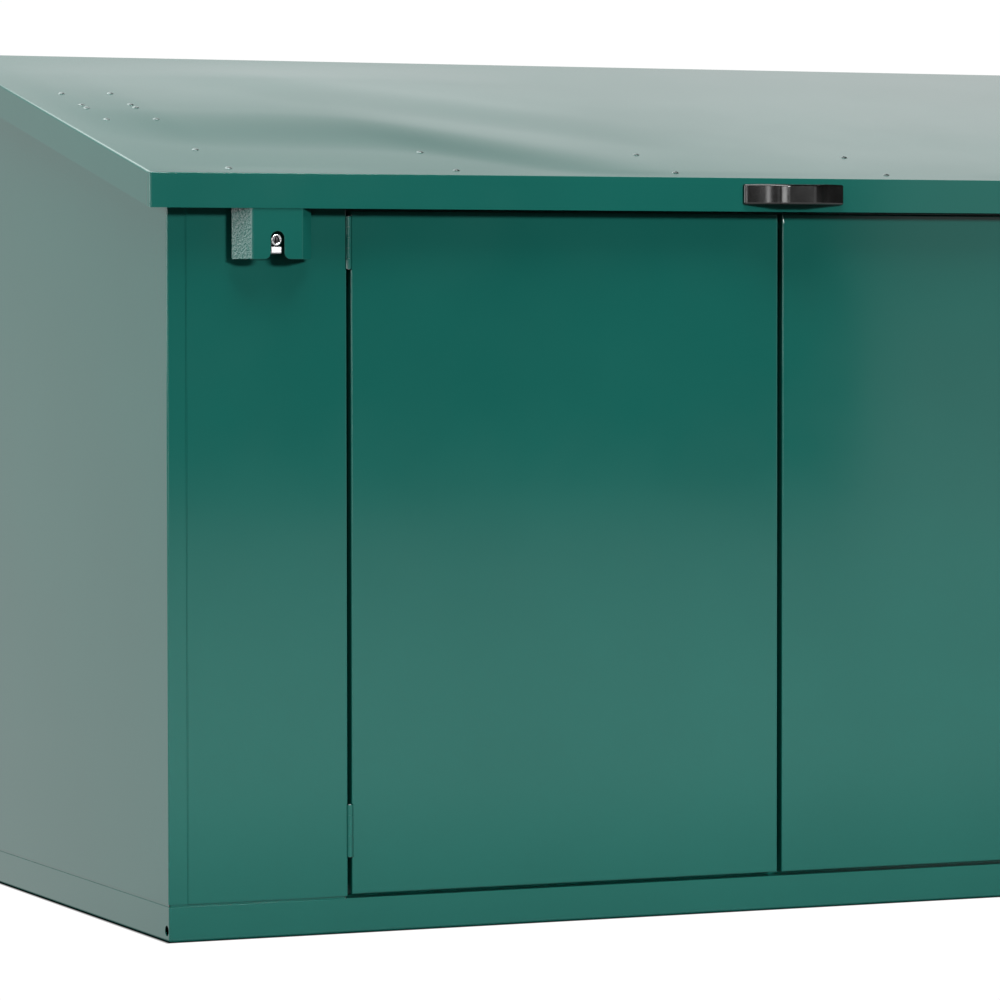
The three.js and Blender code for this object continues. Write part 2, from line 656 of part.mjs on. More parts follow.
// Lock plug: turns in the barrel and carries the cam on its inner end.
function lockPlug() {
  const nose = LID_FRONT + LOCK_NOSE_SETBACK + 4.5;
  const camFront = FRONT + 28;
  const plug = rod([-LOCK_X, nose, LOCK_HEIGHT], [-LOCK_X, camFront + 4.5, LOCK_HEIGHT], PLUG_RADIUS, 20);
  const keyway = block(-LOCK_X - 0.9, -LOCK_X + 0.9, nose - 1, nose + 9,
    LOCK_HEIGHT - 3.4, LOCK_HEIGHT + 3.4);
  const cam = block(-LOCK_X - 7, -LOCK_X + 7, camFront, camFront + 3, LOCK_HEIGHT - 7, LOCK_HEIGHT + 38);
  return join(cut(plug, keyway), cam);
}

// Catch: hangs from the lid stiffener behind the pilaster. Its forward tab passes below the cam
// when the lid is shut, so the turned cam holds the lid down.
function lidCatch() {
  const x0 = -LOCK_X + 14;
  const x1 = x0 + 30;
  const face = FRONT + 36;
  const shelfTop = LOCK_HEIGHT - 9;
  const under = lidUnderside(face) - (STIFFENER_DEPTH + SHEET + 2 * CLEAR) / Math.cos(SLOPE);
  const strip = foldedSheet([
    [face - 11, shelfTop - PLATE], [face + PLATE, shelfTop - PLATE],
    [face + PLATE, under - PLATE + 2 * Math.tan(SLOPE)],
    [face + 32, under - PLATE + 32 * Math.tan(SLOPE)],
  ], PLATE);
  return extrude(strip, 'YZ', x0, x1);
}

placePair('lock_cover', lockCover(), 'paint');
placePair('lid_catch', lidCatch(), 'zinc');
placePair('lock_body', lockBody(), 'chrome');
placePair('lock_plug', lockPlug(), 'chrome');

// ---------------------------------------------------------------- lid hinge

const LID_LEAF = 1.2;

// One leaf of the continuous lid hinge. The fixed leaf lies on the back panels, and the moving
// leaf lies inside the lid's rear skirt.
function lidHingeLeaf(moving) {
  const x0 = -LID_HINGE_LENGTH / 2;
  const rings = knuckles(LID_HINGE_KNUCKLES, moving ? 1 : 0, LID_HINGE_LENGTH, (from, to) => {
    const ringBody = extrude(ringShape(LID_AXIS.y, LID_AXIS.z, LID_HINGE_RADIUS, PIN_BORE), 'YZ',
      x0 + from, x0 + to);
    const y0 = moving ? LID_BACK - SHEET - CLEAR - LID_LEAF : BACK + CLEAR;
    const link = moving
      ? block(x0 + from, x0 + to, y0, y0 + LID_LEAF, LID_AXIS.z + 1.5, LID_AXIS.z + 8)
      : block(x0 + from, x0 + to, y0, y0 + LID_LEAF, LID_AXIS.z - 8, LID_AXIS.z + 0.5);
    return join(ringBody, link);
  });
  const plate = moving
    ? block(x0, -x0, LID_BACK - SHEET - CLEAR - LID_LEAF, LID_BACK - SHEET - CLEAR,
      LID_AXIS.z + 5, LID_AXIS.z + 38)
    : block(x0, -x0, BACK + CLEAR, BACK + CLEAR + LID_LEAF, LID_AXIS.z - 40, LID_AXIS.z - 5);
  return join(plate, ...rings);
}

place('lid_hinge_fixed_leaf', lidHingeLeaf(false), 'paint');
place('lid_hinge_lid_leaf', lidHingeLeaf(true), 'paint');
place('lid_hinge_pin', rod([-LID_HINGE_LENGTH / 2 - 1, LID_AXIS.y, LID_AXIS.z],
  [LID_HINGE_LENGTH / 2 + 1, LID_AXIS.y, LID_AXIS.z], PIN_RADIUS, 12), 'zinc');

// ---------------------------------------------------------------- gas struts

// The strut's lid end, in the locker's frame, and its body end, which is the same distance from
// the lid hinge, further down.
function strutEnds() {
  const down = STRUT_DROP + SHEET;
  const lidEnd = {
    y: LID_FRONT + STRUT_ALONG_LID * Math.cos(SLOPE) + down * Math.sin(SLOPE),
    z: LID_FRONT_HEIGHT + STRUT_ALONG_LID * Math.sin(SLOPE) - down * Math.cos(SLOPE),
  };
  const arm = { y: lidEnd.y - LID_AXIS.y, z: lidEnd.z - LID_AXIS.z };
  const turn = THREE.MathUtils.degToRad(STRUT_CLOSED_ANGLE);
  const bodyEnd = {
    y: LID_AXIS.y + arm.y * Math.cos(turn) - arm.z * Math.sin(turn),
    z: LID_AXIS.z + arm.y * Math.sin(turn) + arm.z * Math.cos(turn),
  };
  return { lidEnd, bodyEnd };
}

const { lidEnd, bodyEnd } = strutEnds();
const STRUT_LENGTH = Math.hypot(lidEnd.y - bodyEnd.y, lidEnd.z - bodyEnd.z);
const EYE = 9;
const EYE_BORE = 4.4;
const STUD_RADIUS = 4;

// The strut is drawn up Z from its lower eye and then leaned into place.
const strutFrame = new THREE.Group();
strutFrame.position.set(0, bodyEnd.y, bodyEnd.z);
strutFrame.rotation.x = Math.atan2(lidEnd.z - bodyEnd.z, lidEnd.y - bodyEnd.y) - Math.PI / 2;
locker.add(strutFrame);

function latheAlongZ(points, sides) {
  const profile = points.map(([radius, height]) => new THREE.Vector2(radius, height));
  return new THREE.LatheGeometry(profile, sides).rotateX(Math.PI / 2);
}

function strutEye(z) {
  return extrude(ringShape(0, z, EYE, EYE_BORE), 'YZ', -STRUT_X - 5, -STRUT_X + 5);
}

function strutCylinder() {
  const foot = 14;
  const top = STRUT_LENGTH - 26;
  const tube = latheAlongZ([
    [0, foot], [STRUT_RADIUS, foot], [STRUT_RADIUS, top], [ROD_RADIUS + 0.4, top],
    [ROD_RADIUS + 0.4, top - 12], [STRUT_RADIUS - 1.5, top - 12], [STRUT_RADIUS - 1.5, foot + 8],
    [0, foot + 8],
  ], 20).translate(-STRUT_X, 0, 0);
  const neck = block(-STRUT_X - 4, -STRUT_X + 4, -5, 5, EYE - 2, foot + 2);
  return join(tube, neck, strutEye(0));
}

function strutRod() {
  const piston = 50;
  const shank = latheAlongZ([
    [0, piston], [STRUT_RADIUS - 1.9, piston], [STRUT_RADIUS - 1.9, piston + 10], [ROD_RADIUS, piston + 10],
    [ROD_RADIUS, STRUT_LENGTH - EYE + 2], [0, STRUT_LENGTH - EYE + 2],
  ], 16).translate(-STRUT_X, 0, 0);
  return join(shank, strutEye(STRUT_LENGTH));
}

// Bracket on the side panel: a plate with a stud through the strut's lower eye, and its head.
function strutBracket() {
  const wall = -HALF_WIDTH + SHEET + CLEAR;
  const plate = block(wall, wall + PLATE, bodyEnd.y - 30, bodyEnd.y + 30, bodyEnd.z - 40, bodyEnd.z + 40);
  const boss = rod([wall + 1, bodyEnd.y, bodyEnd.z], [-STRUT_X - 5.5, bodyEnd.y, bodyEnd.z], 8, 16);
  const stud = rod([wall + 1, bodyEnd.y, bodyEnd.z], [-STRUT_X + 8, bodyEnd.y, bodyEnd.z], STUD_RADIUS, 16);
  const head = rod([-STRUT_X + 5.5, bodyEnd.y, bodyEnd.z], [-STRUT_X + 9, bodyEnd.y, bodyEnd.z], 7, 16);
  return join(plate, boss, stud, head);
}

placePair('strut_bracket', strutBracket(), 'zinc');
placePair('strut_cylinder', strutCylinder(), 'blackPaint', strutFrame);
placePair('strut_rod', strutRod(), 'chrome', strutFrame);

export default locker;
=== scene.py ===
"""Looks of the outdoor storage locker: formed sheet-steel skins, hinges, locks and struts.

Lengths are in millimetres until a mesh is made. X runs to the right along the front, Y to the
back and Z up, with the origin on the ground under the centre of the base.
"""

import json
import math

import bmesh
import bpy
import numpy as np
from mathutils import Matrix, Vector

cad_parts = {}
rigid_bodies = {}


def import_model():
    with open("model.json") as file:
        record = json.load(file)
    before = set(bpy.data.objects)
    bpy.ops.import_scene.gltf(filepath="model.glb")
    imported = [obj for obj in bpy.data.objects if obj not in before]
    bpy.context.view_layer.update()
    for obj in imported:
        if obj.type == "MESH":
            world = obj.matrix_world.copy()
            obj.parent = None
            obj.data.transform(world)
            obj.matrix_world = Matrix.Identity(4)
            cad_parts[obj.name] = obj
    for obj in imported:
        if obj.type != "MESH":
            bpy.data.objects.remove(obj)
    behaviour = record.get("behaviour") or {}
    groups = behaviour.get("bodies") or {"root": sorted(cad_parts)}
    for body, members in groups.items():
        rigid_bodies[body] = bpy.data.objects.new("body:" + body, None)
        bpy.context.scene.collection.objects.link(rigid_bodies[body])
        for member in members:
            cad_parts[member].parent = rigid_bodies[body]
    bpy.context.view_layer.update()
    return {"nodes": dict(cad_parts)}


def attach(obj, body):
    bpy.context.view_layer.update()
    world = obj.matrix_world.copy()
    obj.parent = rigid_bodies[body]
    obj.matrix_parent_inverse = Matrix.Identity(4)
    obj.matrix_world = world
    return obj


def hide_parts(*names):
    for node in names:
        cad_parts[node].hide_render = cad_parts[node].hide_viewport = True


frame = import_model()

MM = 0.001

# ------------------------------------------------------------------ dimensions

SHEET = 1.2
CLEAR = 0.3
LAP = SHEET + CLEAR
BEND = 2.2  # outer radius of a fold
SUPPORT = 0.7  # flat kept beside each fold, so that shading stays flat
PANEL_GAP = 0.4  # between the base's upstand and the panels round it

HALF_WIDTH = 961.0
FRONT = -455.0
BACK = 455.0
HALF_LID = 1000.0
LID_FRONT = -495.0
LID_BACK = 465.0
LID_FRONT_HEIGHT = 1084.0
LID_RISE = 209.5
LIP = 49.0
LID_BEND = 3.4  # outer radius of its side and rear folds
LID_CORNER = 2.6
TIGHT_REACH = 6.0  # how far from the front fold the sheet is drawn in to sharpen it
TIGHT_RATIO = 0.19
SLOPE = math.atan2(LID_RISE, LID_BACK - LID_FRONT)
LID_LENGTH = (LID_BACK - LID_FRONT) / math.cos(SLOPE)
PANEL_DROP = 10.0  # of the side and back panels' tops below the lid's underside

PLINTH = 50.0
BASE_BENDS = (4.0, 0.3)  # outer radii of the base's lower and upper fold
BASE_CORNER = 3.0
DRAIN_RADIUS = 7.5
DRAIN_HEIGHT = 16.0
DRAIN_INSET = 10.5
PANEL_FOOT = 53.5
DOOR_FOOT = 55.5
DOOR_TOP = 1033.0
DOOR_DEPTH = 25.0
PILASTER_TOP = 1066.0
CORNER_STRIP = 29.4
OPENING_HALF = 690.0
DOOR_OUTER = 683.5
DOOR_INNER = 3.8
UPSTAND_TOP = 78.0
DOOR_STOP = FRONT + DOOR_DEPTH + 4

DOOR_HINGE_X = 686.75
DOOR_HINGE_Y = FRONT + 1
DOOR_HINGE_RADIUS = 4.4
DOOR_HINGE_SPANS = {"lower": (109.5, 184.5), "upper": (950.0, 1025.0)}
DOOR_KNUCKLES = 5
HINGE_GAP = 6.5
KNUCKLE_BORE = 2.6
PIN_RADIUS = 2.3

LOCK_X = 809.3
LOCK_HEIGHT = 991.0
BARREL_RADIUS = 8.75
LOCK_NOSE = LID_FRONT + 5.5
PLUG_RADIUS = 5.5
KEYWAY_HALF_WIDTH = 0.9
KEYWAY_HALF_HEIGHT = 3.4
CAM_RADIUS = 7.0
CAM_LENGTH = 31.0
FOOT_HALF_WIDTH = 8.6
COVER_FACE = 76.0
COVER_SPREAD = 22.0
COVER_STANDOFF = 14.0
COVER_FOOT = 963.5
COVER_SLOT = 20.8
COVER_SHEET = 1.5
SLOT_FLARE = 9.0

PULL_HALF = 81.5
PULL_DEPTH = 32.0
PULL_WALL = 10.0
PULL_FOOT_DEPTH = 7.2
PULL_BOTTOM = 1045.5
PULL_TOP = 1075.5
PULL_ROUND_BOTTOM = 3.0
PULL_ROUND_TOP = 3.2
PULL_SAG = 1.0  # how much lower the bow's top is at its front than over its legs
LEG_ANGLE = 27.0  # of the bow's legs at their feet, in degrees from the lid's front
LEG_STRETCHES = ((25.5, 23.0), (5.0, 20.0), (5.0, 23.0), (11.0, 31.0), (4.4, 21.5), (8.0, 16.0),
                 (5.4, 0.0))  # lengths, and the angle reached at the end of each

LID_AXIS = (460.0, 1239.0)  # y, z
LID_HINGE_HALF = 900.0
LID_HINGE_RADIUS = 4.0
LID_KNUCKLES = 18
LEAF = 1.2

STRUT_X = 900.0
STRUT_FOOT = (311.839, 836.920)  # y, z of the lower eye
STRUT_HEAD = (37.708, 1166.271)  # y, z of the upper eye
STRUT_RADIUS = 10.0
ROD_RADIUS = 4.0
STRUT_LENGTH = math.hypot(STRUT_HEAD[0] - STRUT_FOOT[0], STRUT_HEAD[1] - STRUT_FOOT[1])
EYE_RADIUS = 9.0
EYE_BORE = 4.4

RIVET_RADIUS = 5.4
RIVET_HEIGHT = 2.0
LID_RIVET_ROWS = (36.0, 176.0)  # slope distance from the lid's front edge
LID_RIVET_X = (-870.0, -522.0, -174.0, 174.0, 522.0, 870.0)
PLATE_RIVET_S = (408.0, 501.0, 526.0, 622.0)
PLATE_RIVET_X = (927.0, 850.0)

CAMERA = (-3.25985, -6.94829, 0.89651)
YAW = 0.408094  # radians, to the right of +Y
PITCH = 0.039518  # downwards
ROLL = -0.00113
LENS = 176.225

# The stage is in metres.
WALL_Y = 3.0
WALL_FADE, WALL_DARK = 2.36, 2.84  # heights between which the back wall darkens
FADE_RAISED = 0.12  # how much higher it does so at the right
CARD_Y = -6.6
FRONT_CARD_Y = -7.0
HIGH_CARD_Y = 2.9
PAINTED_SHADOW_WIDTH = 0.008  # width of the painted contact shadow where the base meets the floor


def lid_top(y):
    """Height of the lid's outer face at y."""
    return LID_FRONT_HEIGHT + (y - LID_FRONT) * math.tan(SLOPE)


def lid_underside(y):
    return lid_top(y) - SHEET / math.cos(SLOPE)


# ------------------------------------------------------------------ meshes


class Shape:
    """Vertices in millimetres and the faces between them."""

    def __init__(self):
        self.points = []
        self.faces = []

    def rings(self, rings, closed=True, looped=False):
        """Joins rings of equally many points with quads. closed joins each ring's ends, and
        looped joins the last ring to the first."""
        count = len(rings[0])
        start = len(self.points)
        for ring in rings:
            self.points.extend(tuple(p) for p in ring)
        across = count if closed else count - 1
        along = len(rings) if looped else len(rings) - 1
        for i in range(along):
            near = start + i * count
            far = start + ((i + 1) % len(rings)) * count
            for j in range(across):
                k = (j + 1) % count
                self.faces.append((near + j, near + k, far + k, far + j))
        return start

    def face(self, indices):
        self.faces.append(tuple(indices))

    def cap(self, start, count):
        self.face(range(start, start + count))

    def box(self, x0, x1, y0, y1, z0, z1):
        start = len(self.points)
        for z in (z0, z1):
            self.points.extend([(x0, y0, z), (x1, y0, z), (x1, y1, z), (x0, y1, z)])
        for quad in ((0, 3, 2, 1), (4, 5, 6, 7), (0, 1, 5, 4), (1, 2, 6, 5), (2, 3, 7, 6), (3, 0, 4, 7)):
            self.face(start + i for i in quad)
        return self

    def add(self, other):
        start = len(self.points)
        self.points.extend(other.points)
        self.faces.extend(tuple(start + i for i in f) for f in other.faces)
        return self

    def moved(self, function):
        self.points = [tuple(function(*p)) for p in self.points]
        return self

    def mesh(self, name):
        data = bpy.data.meshes.new(name)
        data.from_pydata([Vector(p) * MM for p in self.points], [], self.faces)
        work = bmesh.new()
        work.from_mesh(data)
        bmesh.ops.remove_doubles(work, verts=work.verts, dist=1e-7)
        bmesh.ops.recalc_face_normals(work, faces=work.faces)
        work.to_mesh(data)
        work.free()
        return data


def new_object(name, data):
    obj = bpy.data.objects.new(name, data)
    bpy.context.scene.collection.objects.link(obj)
    return obj


def applied(obj):
    """A new mesh with the object's modifiers applied. The object itself is removed."""
    graph = bpy.context.evaluated_depsgraph_get()
    result = bpy.data.meshes.new_from_object(obj.evaluated_get(graph), depsgraph=graph)
    bpy.data.objects.remove(obj)
    return result


def finish_mesh(data, sharp=38):
    """Smooth shading that keeps flat faces flat beside their rounded edges."""
    for polygon in data.polygons:
        polygon.use_smooth = True
    data.set_sharp_from_angle(angle=math.radians(sharp))
    obj = new_object("work", data)
    modifier = obj.modifiers.new("weights", "WEIGHTED_NORMAL")
    modifier.mode = "FACE_AREA"
    modifier.keep_sharp = True
    return applied(obj)


def cut(data, cutters):
    """The mesh with closed cutter shapes taken away."""
    obj = new_object("work", data)
    tools = []
    for shape in cutters:
        tool = new_object("cutter", shape.mesh("cutter"))
        modifier = obj.modifiers.new("cut", "BOOLEAN")
        modifier.operation = "DIFFERENCE"
        modifier.solver = "EXACT"
        modifier.object = tool
        tools.append(tool)
    result = applied(obj)
    for tool in tools:
        bpy.data.objects.remove(tool)
    return result


def rounded(data, width, segments=2, angle=40):
    """The mesh with its sharp edges rounded."""
    obj = new_object("work", data)
    modifier = obj.modifiers.new("round", "BEVEL")
    modifier.width = width * MM
    modifier.segments = segments
    modifier.limit_method = "ANGLE"
    modifier.angle_limit = math.radians(angle)
    modifier.miter_outer = "MITER_ARC"
    return applied(obj)


def piece(name, data, body, material, slot, *nodes, sharp=38):
    """A finished piece that rides on a body and stands for the CAD nodes named."""
    data = finish_mesh(data, sharp)
    data.name = name
    obj = new_object(name, data)
    data.materials.clear()
    data.materials.append(material)
    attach(obj, body)
    if nodes:
        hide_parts(*nodes)


def piece_pair(name, shape_or_mesh, bodies, material, slot, *stems, sharp=38):
    """NAME_left from a mesh drawn on the left, and NAME_right from its mirror image. Each stands
    for the CAD nodes STEM_left or STEM_right."""
    left = shape_or_mesh.mesh(name) if isinstance(shape_or_mesh, Shape) else shape_or_mesh
    right = left.copy()
    right.transform(Matrix.Diagonal((-1, 1, 1, 1)))
    right.flip_normals()
    for side, data in (("left", left), ("right", right)):
        body = bodies if isinstance(bodies, str) else bodies[side]
        nodes = [f"{stem}_{side}" for stem in stems]
        piece(f"{name}_{side}", data, body, material, slot, *nodes, sharp=sharp)


# ------------------------------------------------------------------ folded sheet


def bent(points, thickness=SHEET, bend=BEND, steps=5):
    """The section of a folded sheet: matching points on its given face and on its other face.
    The thickness lies to the left of the direction of travel. Folds are rounded, with one outer
    radius for all or a list of one for each."""
    bends = bend if isinstance(bend, (list, tuple)) else [bend] * (len(points) - 2)
    pts = [Vector(p) for p in points]
    runs = [(b - a).normalized() for a, b in zip(pts, pts[1:])]
    lefts = [Vector((-d.y, d.x)) for d in runs]
    pairs = [(pts[0], pts[0] + lefts[0] * thickness)]
    for corner, bend, d0, d1, n0, n1 in zip(pts[1:-1], bends, runs, runs[1:], lefts, lefts[1:]):
        turn = math.atan2(d0.cross(d1), d0.dot(d1))
        side = 1 if turn > 0 else -1
        face_radius = bend if turn > 0 else max(bend - thickness, 0.05)
        reach = face_radius * math.tan(abs(turn) / 2)
        start = corner - d0 * reach
        centre = start + n0 * side * face_radius
        before = start - d0 * SUPPORT
        pairs.append((before, before + n0 * thickness))
        for i in range(steps + 1):
            angle = turn * i / steps
            normal = Vector((n0.x * math.cos(angle) - n0.y * math.sin(angle),
                             n0.x * math.sin(angle) + n0.y * math.cos(angle)))
            on_face = centre - normal * side * face_radius
            pairs.append((on_face, on_face + normal * thickness))
        after = corner + d1 * (reach + SUPPORT)
        pairs.append((after, after + n1 * thickness))
    pairs.append((pts[-1], pts[-1] + lefts[-1] * thickness))
    return pairs


def swept(pairs, put, stations):
    """Sweeps a folded section. put(u, v, station) gives the point in space."""
    shape = Shape()
    loop = [a for a, _ in pairs] + [b for _, b in reversed(pairs)]
    rings = [[put(p.x, p.y, s) for p in loop] for s in stations]
    start = shape.rings(rings)
    count = len(loop)
    for first in (start, start + count * (len(stations) - 1)):
        for i in range(len(pairs) - 1):
            shape.face((first + i, first + i + 1, first + count - 2 - i, first + count - 1 - i))
    return shape


def along_x(u, v, s):
    return (s, u, v)


def along_y(u, v, s):
    return (u, s, v)


def along_z(u, v, s):
    return (u, v, s)


PLACED = {"X": along_x, "Y": along_y, "Z": along_z}


def fold_profile(face_to_edge, depth, bend=BEND, thickness=SHEET, steps=5):
    """The profile of a pan from its face to its inside, as (inset from the edge, distance behind
    the face)."""
    profile = [(face_to_edge, 0.0), (bend + SUPPORT, 0.0)]
    for i in range(steps + 1):
        angle = math.radians(90 * i / steps)
        profile.append((bend - bend * math.sin(angle), bend - bend * math.cos(angle)))
    profile += [(0.0, bend + SUPPORT), (0.0, depth), (thickness, depth)]
    inner = bend - thickness
    profile.append((thickness, bend + SUPPORT))
    for i in range(steps + 1):
        angle = math.radians(90 * i / steps)
        profile.append((bend - inner * math.cos(angle), bend - inner * math.sin(angle)))
    profile += [(bend + SUPPORT, thickness), (face_to_edge, thickness)]
    return profile


def rectangle(u0, u1, v0, v1, inset, columns, rows):
    """Points round a rectangle, starting at its low corner, with its sides divided."""
    u0, u1, v0, v1 = u0 + inset, u1 - inset, v0 + inset, v1 - inset
    us = [u0 + (u1 - u0) * f for f in columns]
    vs = [v0 + (v1 - v0) * f for f in rows]
    ring = [(u, v0) for u in us[:-1]] + [(u1, v) for v in vs[:-1]]
    ring += [(u, v1) for u in reversed(us[1:])] + [(u0, v) for v in reversed(vs[1:])]
    return ring


def pan(bounds, depth, put, columns, rows, relief, bend=BEND):
    """A pan folded from one sheet: a face with its four edges turned back. put(u, v, back) gives
    the point in space and relief(u, v) the height of the face above flat."""
    u0, u1, v0, v1 = bounds
    margin = bend + 4 * SUPPORT
    shape = Shape()
    fractions_u = np.linspace(0, 1, columns + 1)
    fractions_v = np.linspace(0, 1, rows + 1)
    rings = []
    for inset, back in fold_profile(margin, depth, bend):
        rings.append([put(u, v, back) for u, v in
                      rectangle(u0, u1, v0, v1, inset, fractions_u, fractions_v)])
    shape.rings(rings)
    for back in (0.0, SHEET):
        grid = []
        for fv in fractions_v:
            v = v0 + margin + (v1 - v0 - 2 * margin) * fv
            row = []
            for fu in fractions_u:
                u = u0 + margin + (u1 - u0 - 2 * margin) * fu
                row.append(put(u, v, back - relief(u, v)))
            grid.append(row)
        shape.rings(grid, closed=False)
    return shape


def tube(axis_point, axis, start, end, outer, inner=0.0, sides=32, chamfer=0.5):
    """A round bar, or a tube, with chamfered ends. axis is 'X', 'Y' or 'Z', and axis_point gives
    the other two coordinates."""
    lo, hi = min(start, end), max(start, end)
    part = chamfer * 0.3
    profile = [(outer - chamfer, lo), (outer - part, lo + part), (outer, lo + chamfer),
               (outer, hi - chamfer), (outer - part, hi - part), (outer - chamfer, hi)]
    if inner:
        profile += [(inner, hi), (inner, lo)]
    return lathe(profile, axis_point, axis, sides, closed=bool(inner))


def lathe(profile, axis_point, axis, sides=32, closed=False):
    """Turns (radius, station) points about an axis. An open profile is capped at both ends."""
    shape = Shape()
    p, q = axis_point
    rings = []
    for radius, station in profile:
        ring = []
        for i in range(sides):
            angle = 2 * math.pi * i / sides
            a, b = p + radius * math.cos(angle), q + radius * math.sin(angle)
            ring.append(PLACED[axis](a, b, station))
        rings.append(ring)
    start = shape.rings(rings, looped=closed)
    if not closed:
        shape.cap(start, sides)
        shape.cap(start + sides * (len(rings) - 1), sides)
    return shape


def prism(outline, axis, start, end):
    """An outline of (u, v) points pushed along an axis."""
    shape = Shape()
    put = PLACED[axis]
    first = shape.rings([[put(u, v, s) for u, v in outline] for s in (start, end)])
    shape.cap(first, len(outline))
    shape.cap(first + len(outline), len(outline))
    return shape


def arc(cu, cv, radius, start, end, steps):
    """Points on an arc, with angles in degrees."""
    angles = [math.radians(start + (end - start) * i / steps) for i in range(steps + 1)]
    return [(cu + radius * math.cos(a), cv + radius * math.sin(a)) for a in angles]


# ------------------------------------------------------------------ materials


class Nodes:
    """A short way to write node trees."""

    def __init__(self, name):
        self.material = bpy.data.materials.new(name)
        self.material.use_nodes = True
        self.tree = self.material.node_tree
        self.tree.nodes.clear()
        self.output = self.tree.nodes.new("ShaderNodeOutputMaterial")

    def add(self, kind, values=None, **settings):
        node = self.tree.nodes.new("ShaderNode" + kind)
        for key, value in settings.items():
            setattr(node, key, value)
        for key, value in (values or {}).items():
            if isinstance(value, bpy.types.NodeSocket):
                self.tree.links.new(value, node.inputs[key])
            else:
                node.inputs[key].default_value = value
        return node

    def position(self):
        return self.add("TexCoord").outputs["Object"]

    def noise(self, scale, detail=2.0, roughness=0.5):
        node = self.add("TexNoise", {"Scale": scale, "Detail": detail, "Roughness": roughness,
                                     "Vector": self.position()})
        return node.outputs["Fac"]

    def spread(self, value, low, high, start=0.3, end=0.7):
        """Maps a value between start and end to low and high."""
        node = self.add("MapRange", {"Value": value, "From Min": start, "From Max": end,
                                     "To Min": low, "To Max": high})
        return node.outputs["Result"]

    def blend(self, factor, first, second):
        node = self.add("Mix", data_type="RGBA")
        for index, value in ((0, factor), (6, first), (7, second)):
            if isinstance(value, bpy.types.NodeSocket):
                self.tree.links.new(value, node.inputs[index])
            else:
                node.inputs[index].default_value = value
        return node.outputs[2]

    def bump(self, height, distance):
        return self.add("Bump", {"Height": height, "Distance": distance}).outputs["Normal"]

    def calculate(self, operation, *values):
        return self.add("Math", dict(enumerate(values)), operation=operation).outputs[0]

    def principled(self, **values):
        node = self.add("BsdfPrincipled", {k.replace("_", " "): v for k, v in values.items()})
        self.tree.links.new(node.outputs["BSDF"], self.output.inputs["Surface"])
        return self.material


PAINT = (0.0075, 0.118, 0.0955, 1)
PAINT_DEEP = (0.0065, 0.108, 0.0875, 1)


def make_paint(name, peel, peel_scale, roughness):
    """Powder-coated steel: a little unevenness in its colour and gloss, and a fine peel."""
    n = Nodes(name)
    cloud = n.noise(3.1, 3.0)
    colour = n.blend(n.spread(cloud, 0, 1), PAINT, PAINT_DEEP)
    gloss = n.spread(n.noise(9.0, 4.0), roughness - 0.012, roughness + 0.012)
    fine = n.noise(peel_scale, 2.0, 0.55)
    return n.principled(Base_Color=colour, Roughness=gloss, IOR=1.5, Normal=n.bump(fine, peel))


def make_zinc(name, tint):
    """Galvanised steel with a faint spangle."""
    n = Nodes(name)
    spangle = n.add("TexVoronoi", {"Scale": 90.0, "Vector": n.position()}).outputs["Distance"]
    dark = tuple(c * 0.72 for c in tint[:3]) + (1,)
    colour = n.blend(n.spread(spangle, 0, 1, 0.1, 0.6), tint, dark)
    gloss = n.spread(n.noise(14.0, 4.0), 0.32, 0.48)
    return n.principled(Base_Color=colour, Metallic=0.9, Roughness=gloss,
                        Normal=n.bump(n.noise(120.0), 0.00003))


def make_chrome(name, tint, roughness):
    """Bare or plated metal with light handling marks."""
    n = Nodes(name)
    gloss = n.spread(n.noise(60.0, 5.0), roughness * 0.8, roughness * 1.4)
    return n.principled(Base_Color=tint, Metallic=1.0, Roughness=gloss,
                        Normal=n.bump(n.noise(400.0), 0.000004))


def make_plain(name, colour, rough, grain, grain_depth, metallic=0.0, ior=1.5):
    """A moulded or painted finish: even colour with small variation, and a fine grain."""
    n = Nodes(name)
    least = 0.75
    darker = tuple(c * least for c in colour[:3]) + (1,)
    tone = n.blend(n.spread(n.noise(18.0, 3.0), 0, 1), colour, darker)
    gloss = n.spread(n.noise(30.0, 4.0), rough * 0.85, rough * 1.15)
    fine = n.noise(grain, 3.0)
    return n.principled(Base_Color=tone, Metallic=metallic, Roughness=gloss, IOR=ior,
                        Normal=n.bump(fine, grain_depth))


paint = make_paint("green_powder_coat", 0.0000015, 700.0, 0.105)
paint_peel = make_paint("green_powder_coat_peel", 0.0008, 330.0, 0.16)
rivet_metal = make_chrome("rivet_metal", (0.36, 0.43, 0.42, 1), 0.34)
zinc = make_zinc("galvanised_steel", (0.56, 0.58, 0.60, 1))
chrome = make_chrome("polished_chrome", (0.80, 0.80, 0.81, 1), 0.10)
chrome_rod = make_chrome("plated_rod", (0.62, 0.63, 0.65, 1), 0.16)
satin = make_chrome("satin_plating", (0.5, 0.5, 0.51, 1), 0.36)
# Nearly black: painted shade for the recessed plug at the middle of each lock.
plug_painted_shade_metal = make_chrome("plug_painted_shade_metal", (0.045, 0.043, 0.045, 1), 0.38)
black_plastic = make_plain("black_plastic", (0.004, 0.0038, 0.0037, 1), 0.19, 700.0, 0.000004,
                           ior=1.75)
black_paint = make_plain("black_cylinder_paint", (0.015, 0.015, 0.016, 1), 0.3, 500.0, 0.00001, 0.1)
rubber = make_plain("black_rubber", (0.02, 0.02, 0.02, 1), 0.8, 900.0, 0.00004)
grey_plastic = make_plain("grey_plastic", (0.045, 0.047, 0.048, 1), 0.5, 600.0, 0.00002)

# ------------------------------------------------------------------ lid


def bell(value, centre, width):
    return math.exp(-((value - centre) / width) ** 2)


def ramp(value, softness=60.0):
    """Zero below nought and the value itself above it, with a soft bend between."""
    return 0.5 * (value + math.hypot(value, softness))


def smooth(value):
    value = min(1.0, max(0.0, value))
    return value * value * (3 - 2 * value)


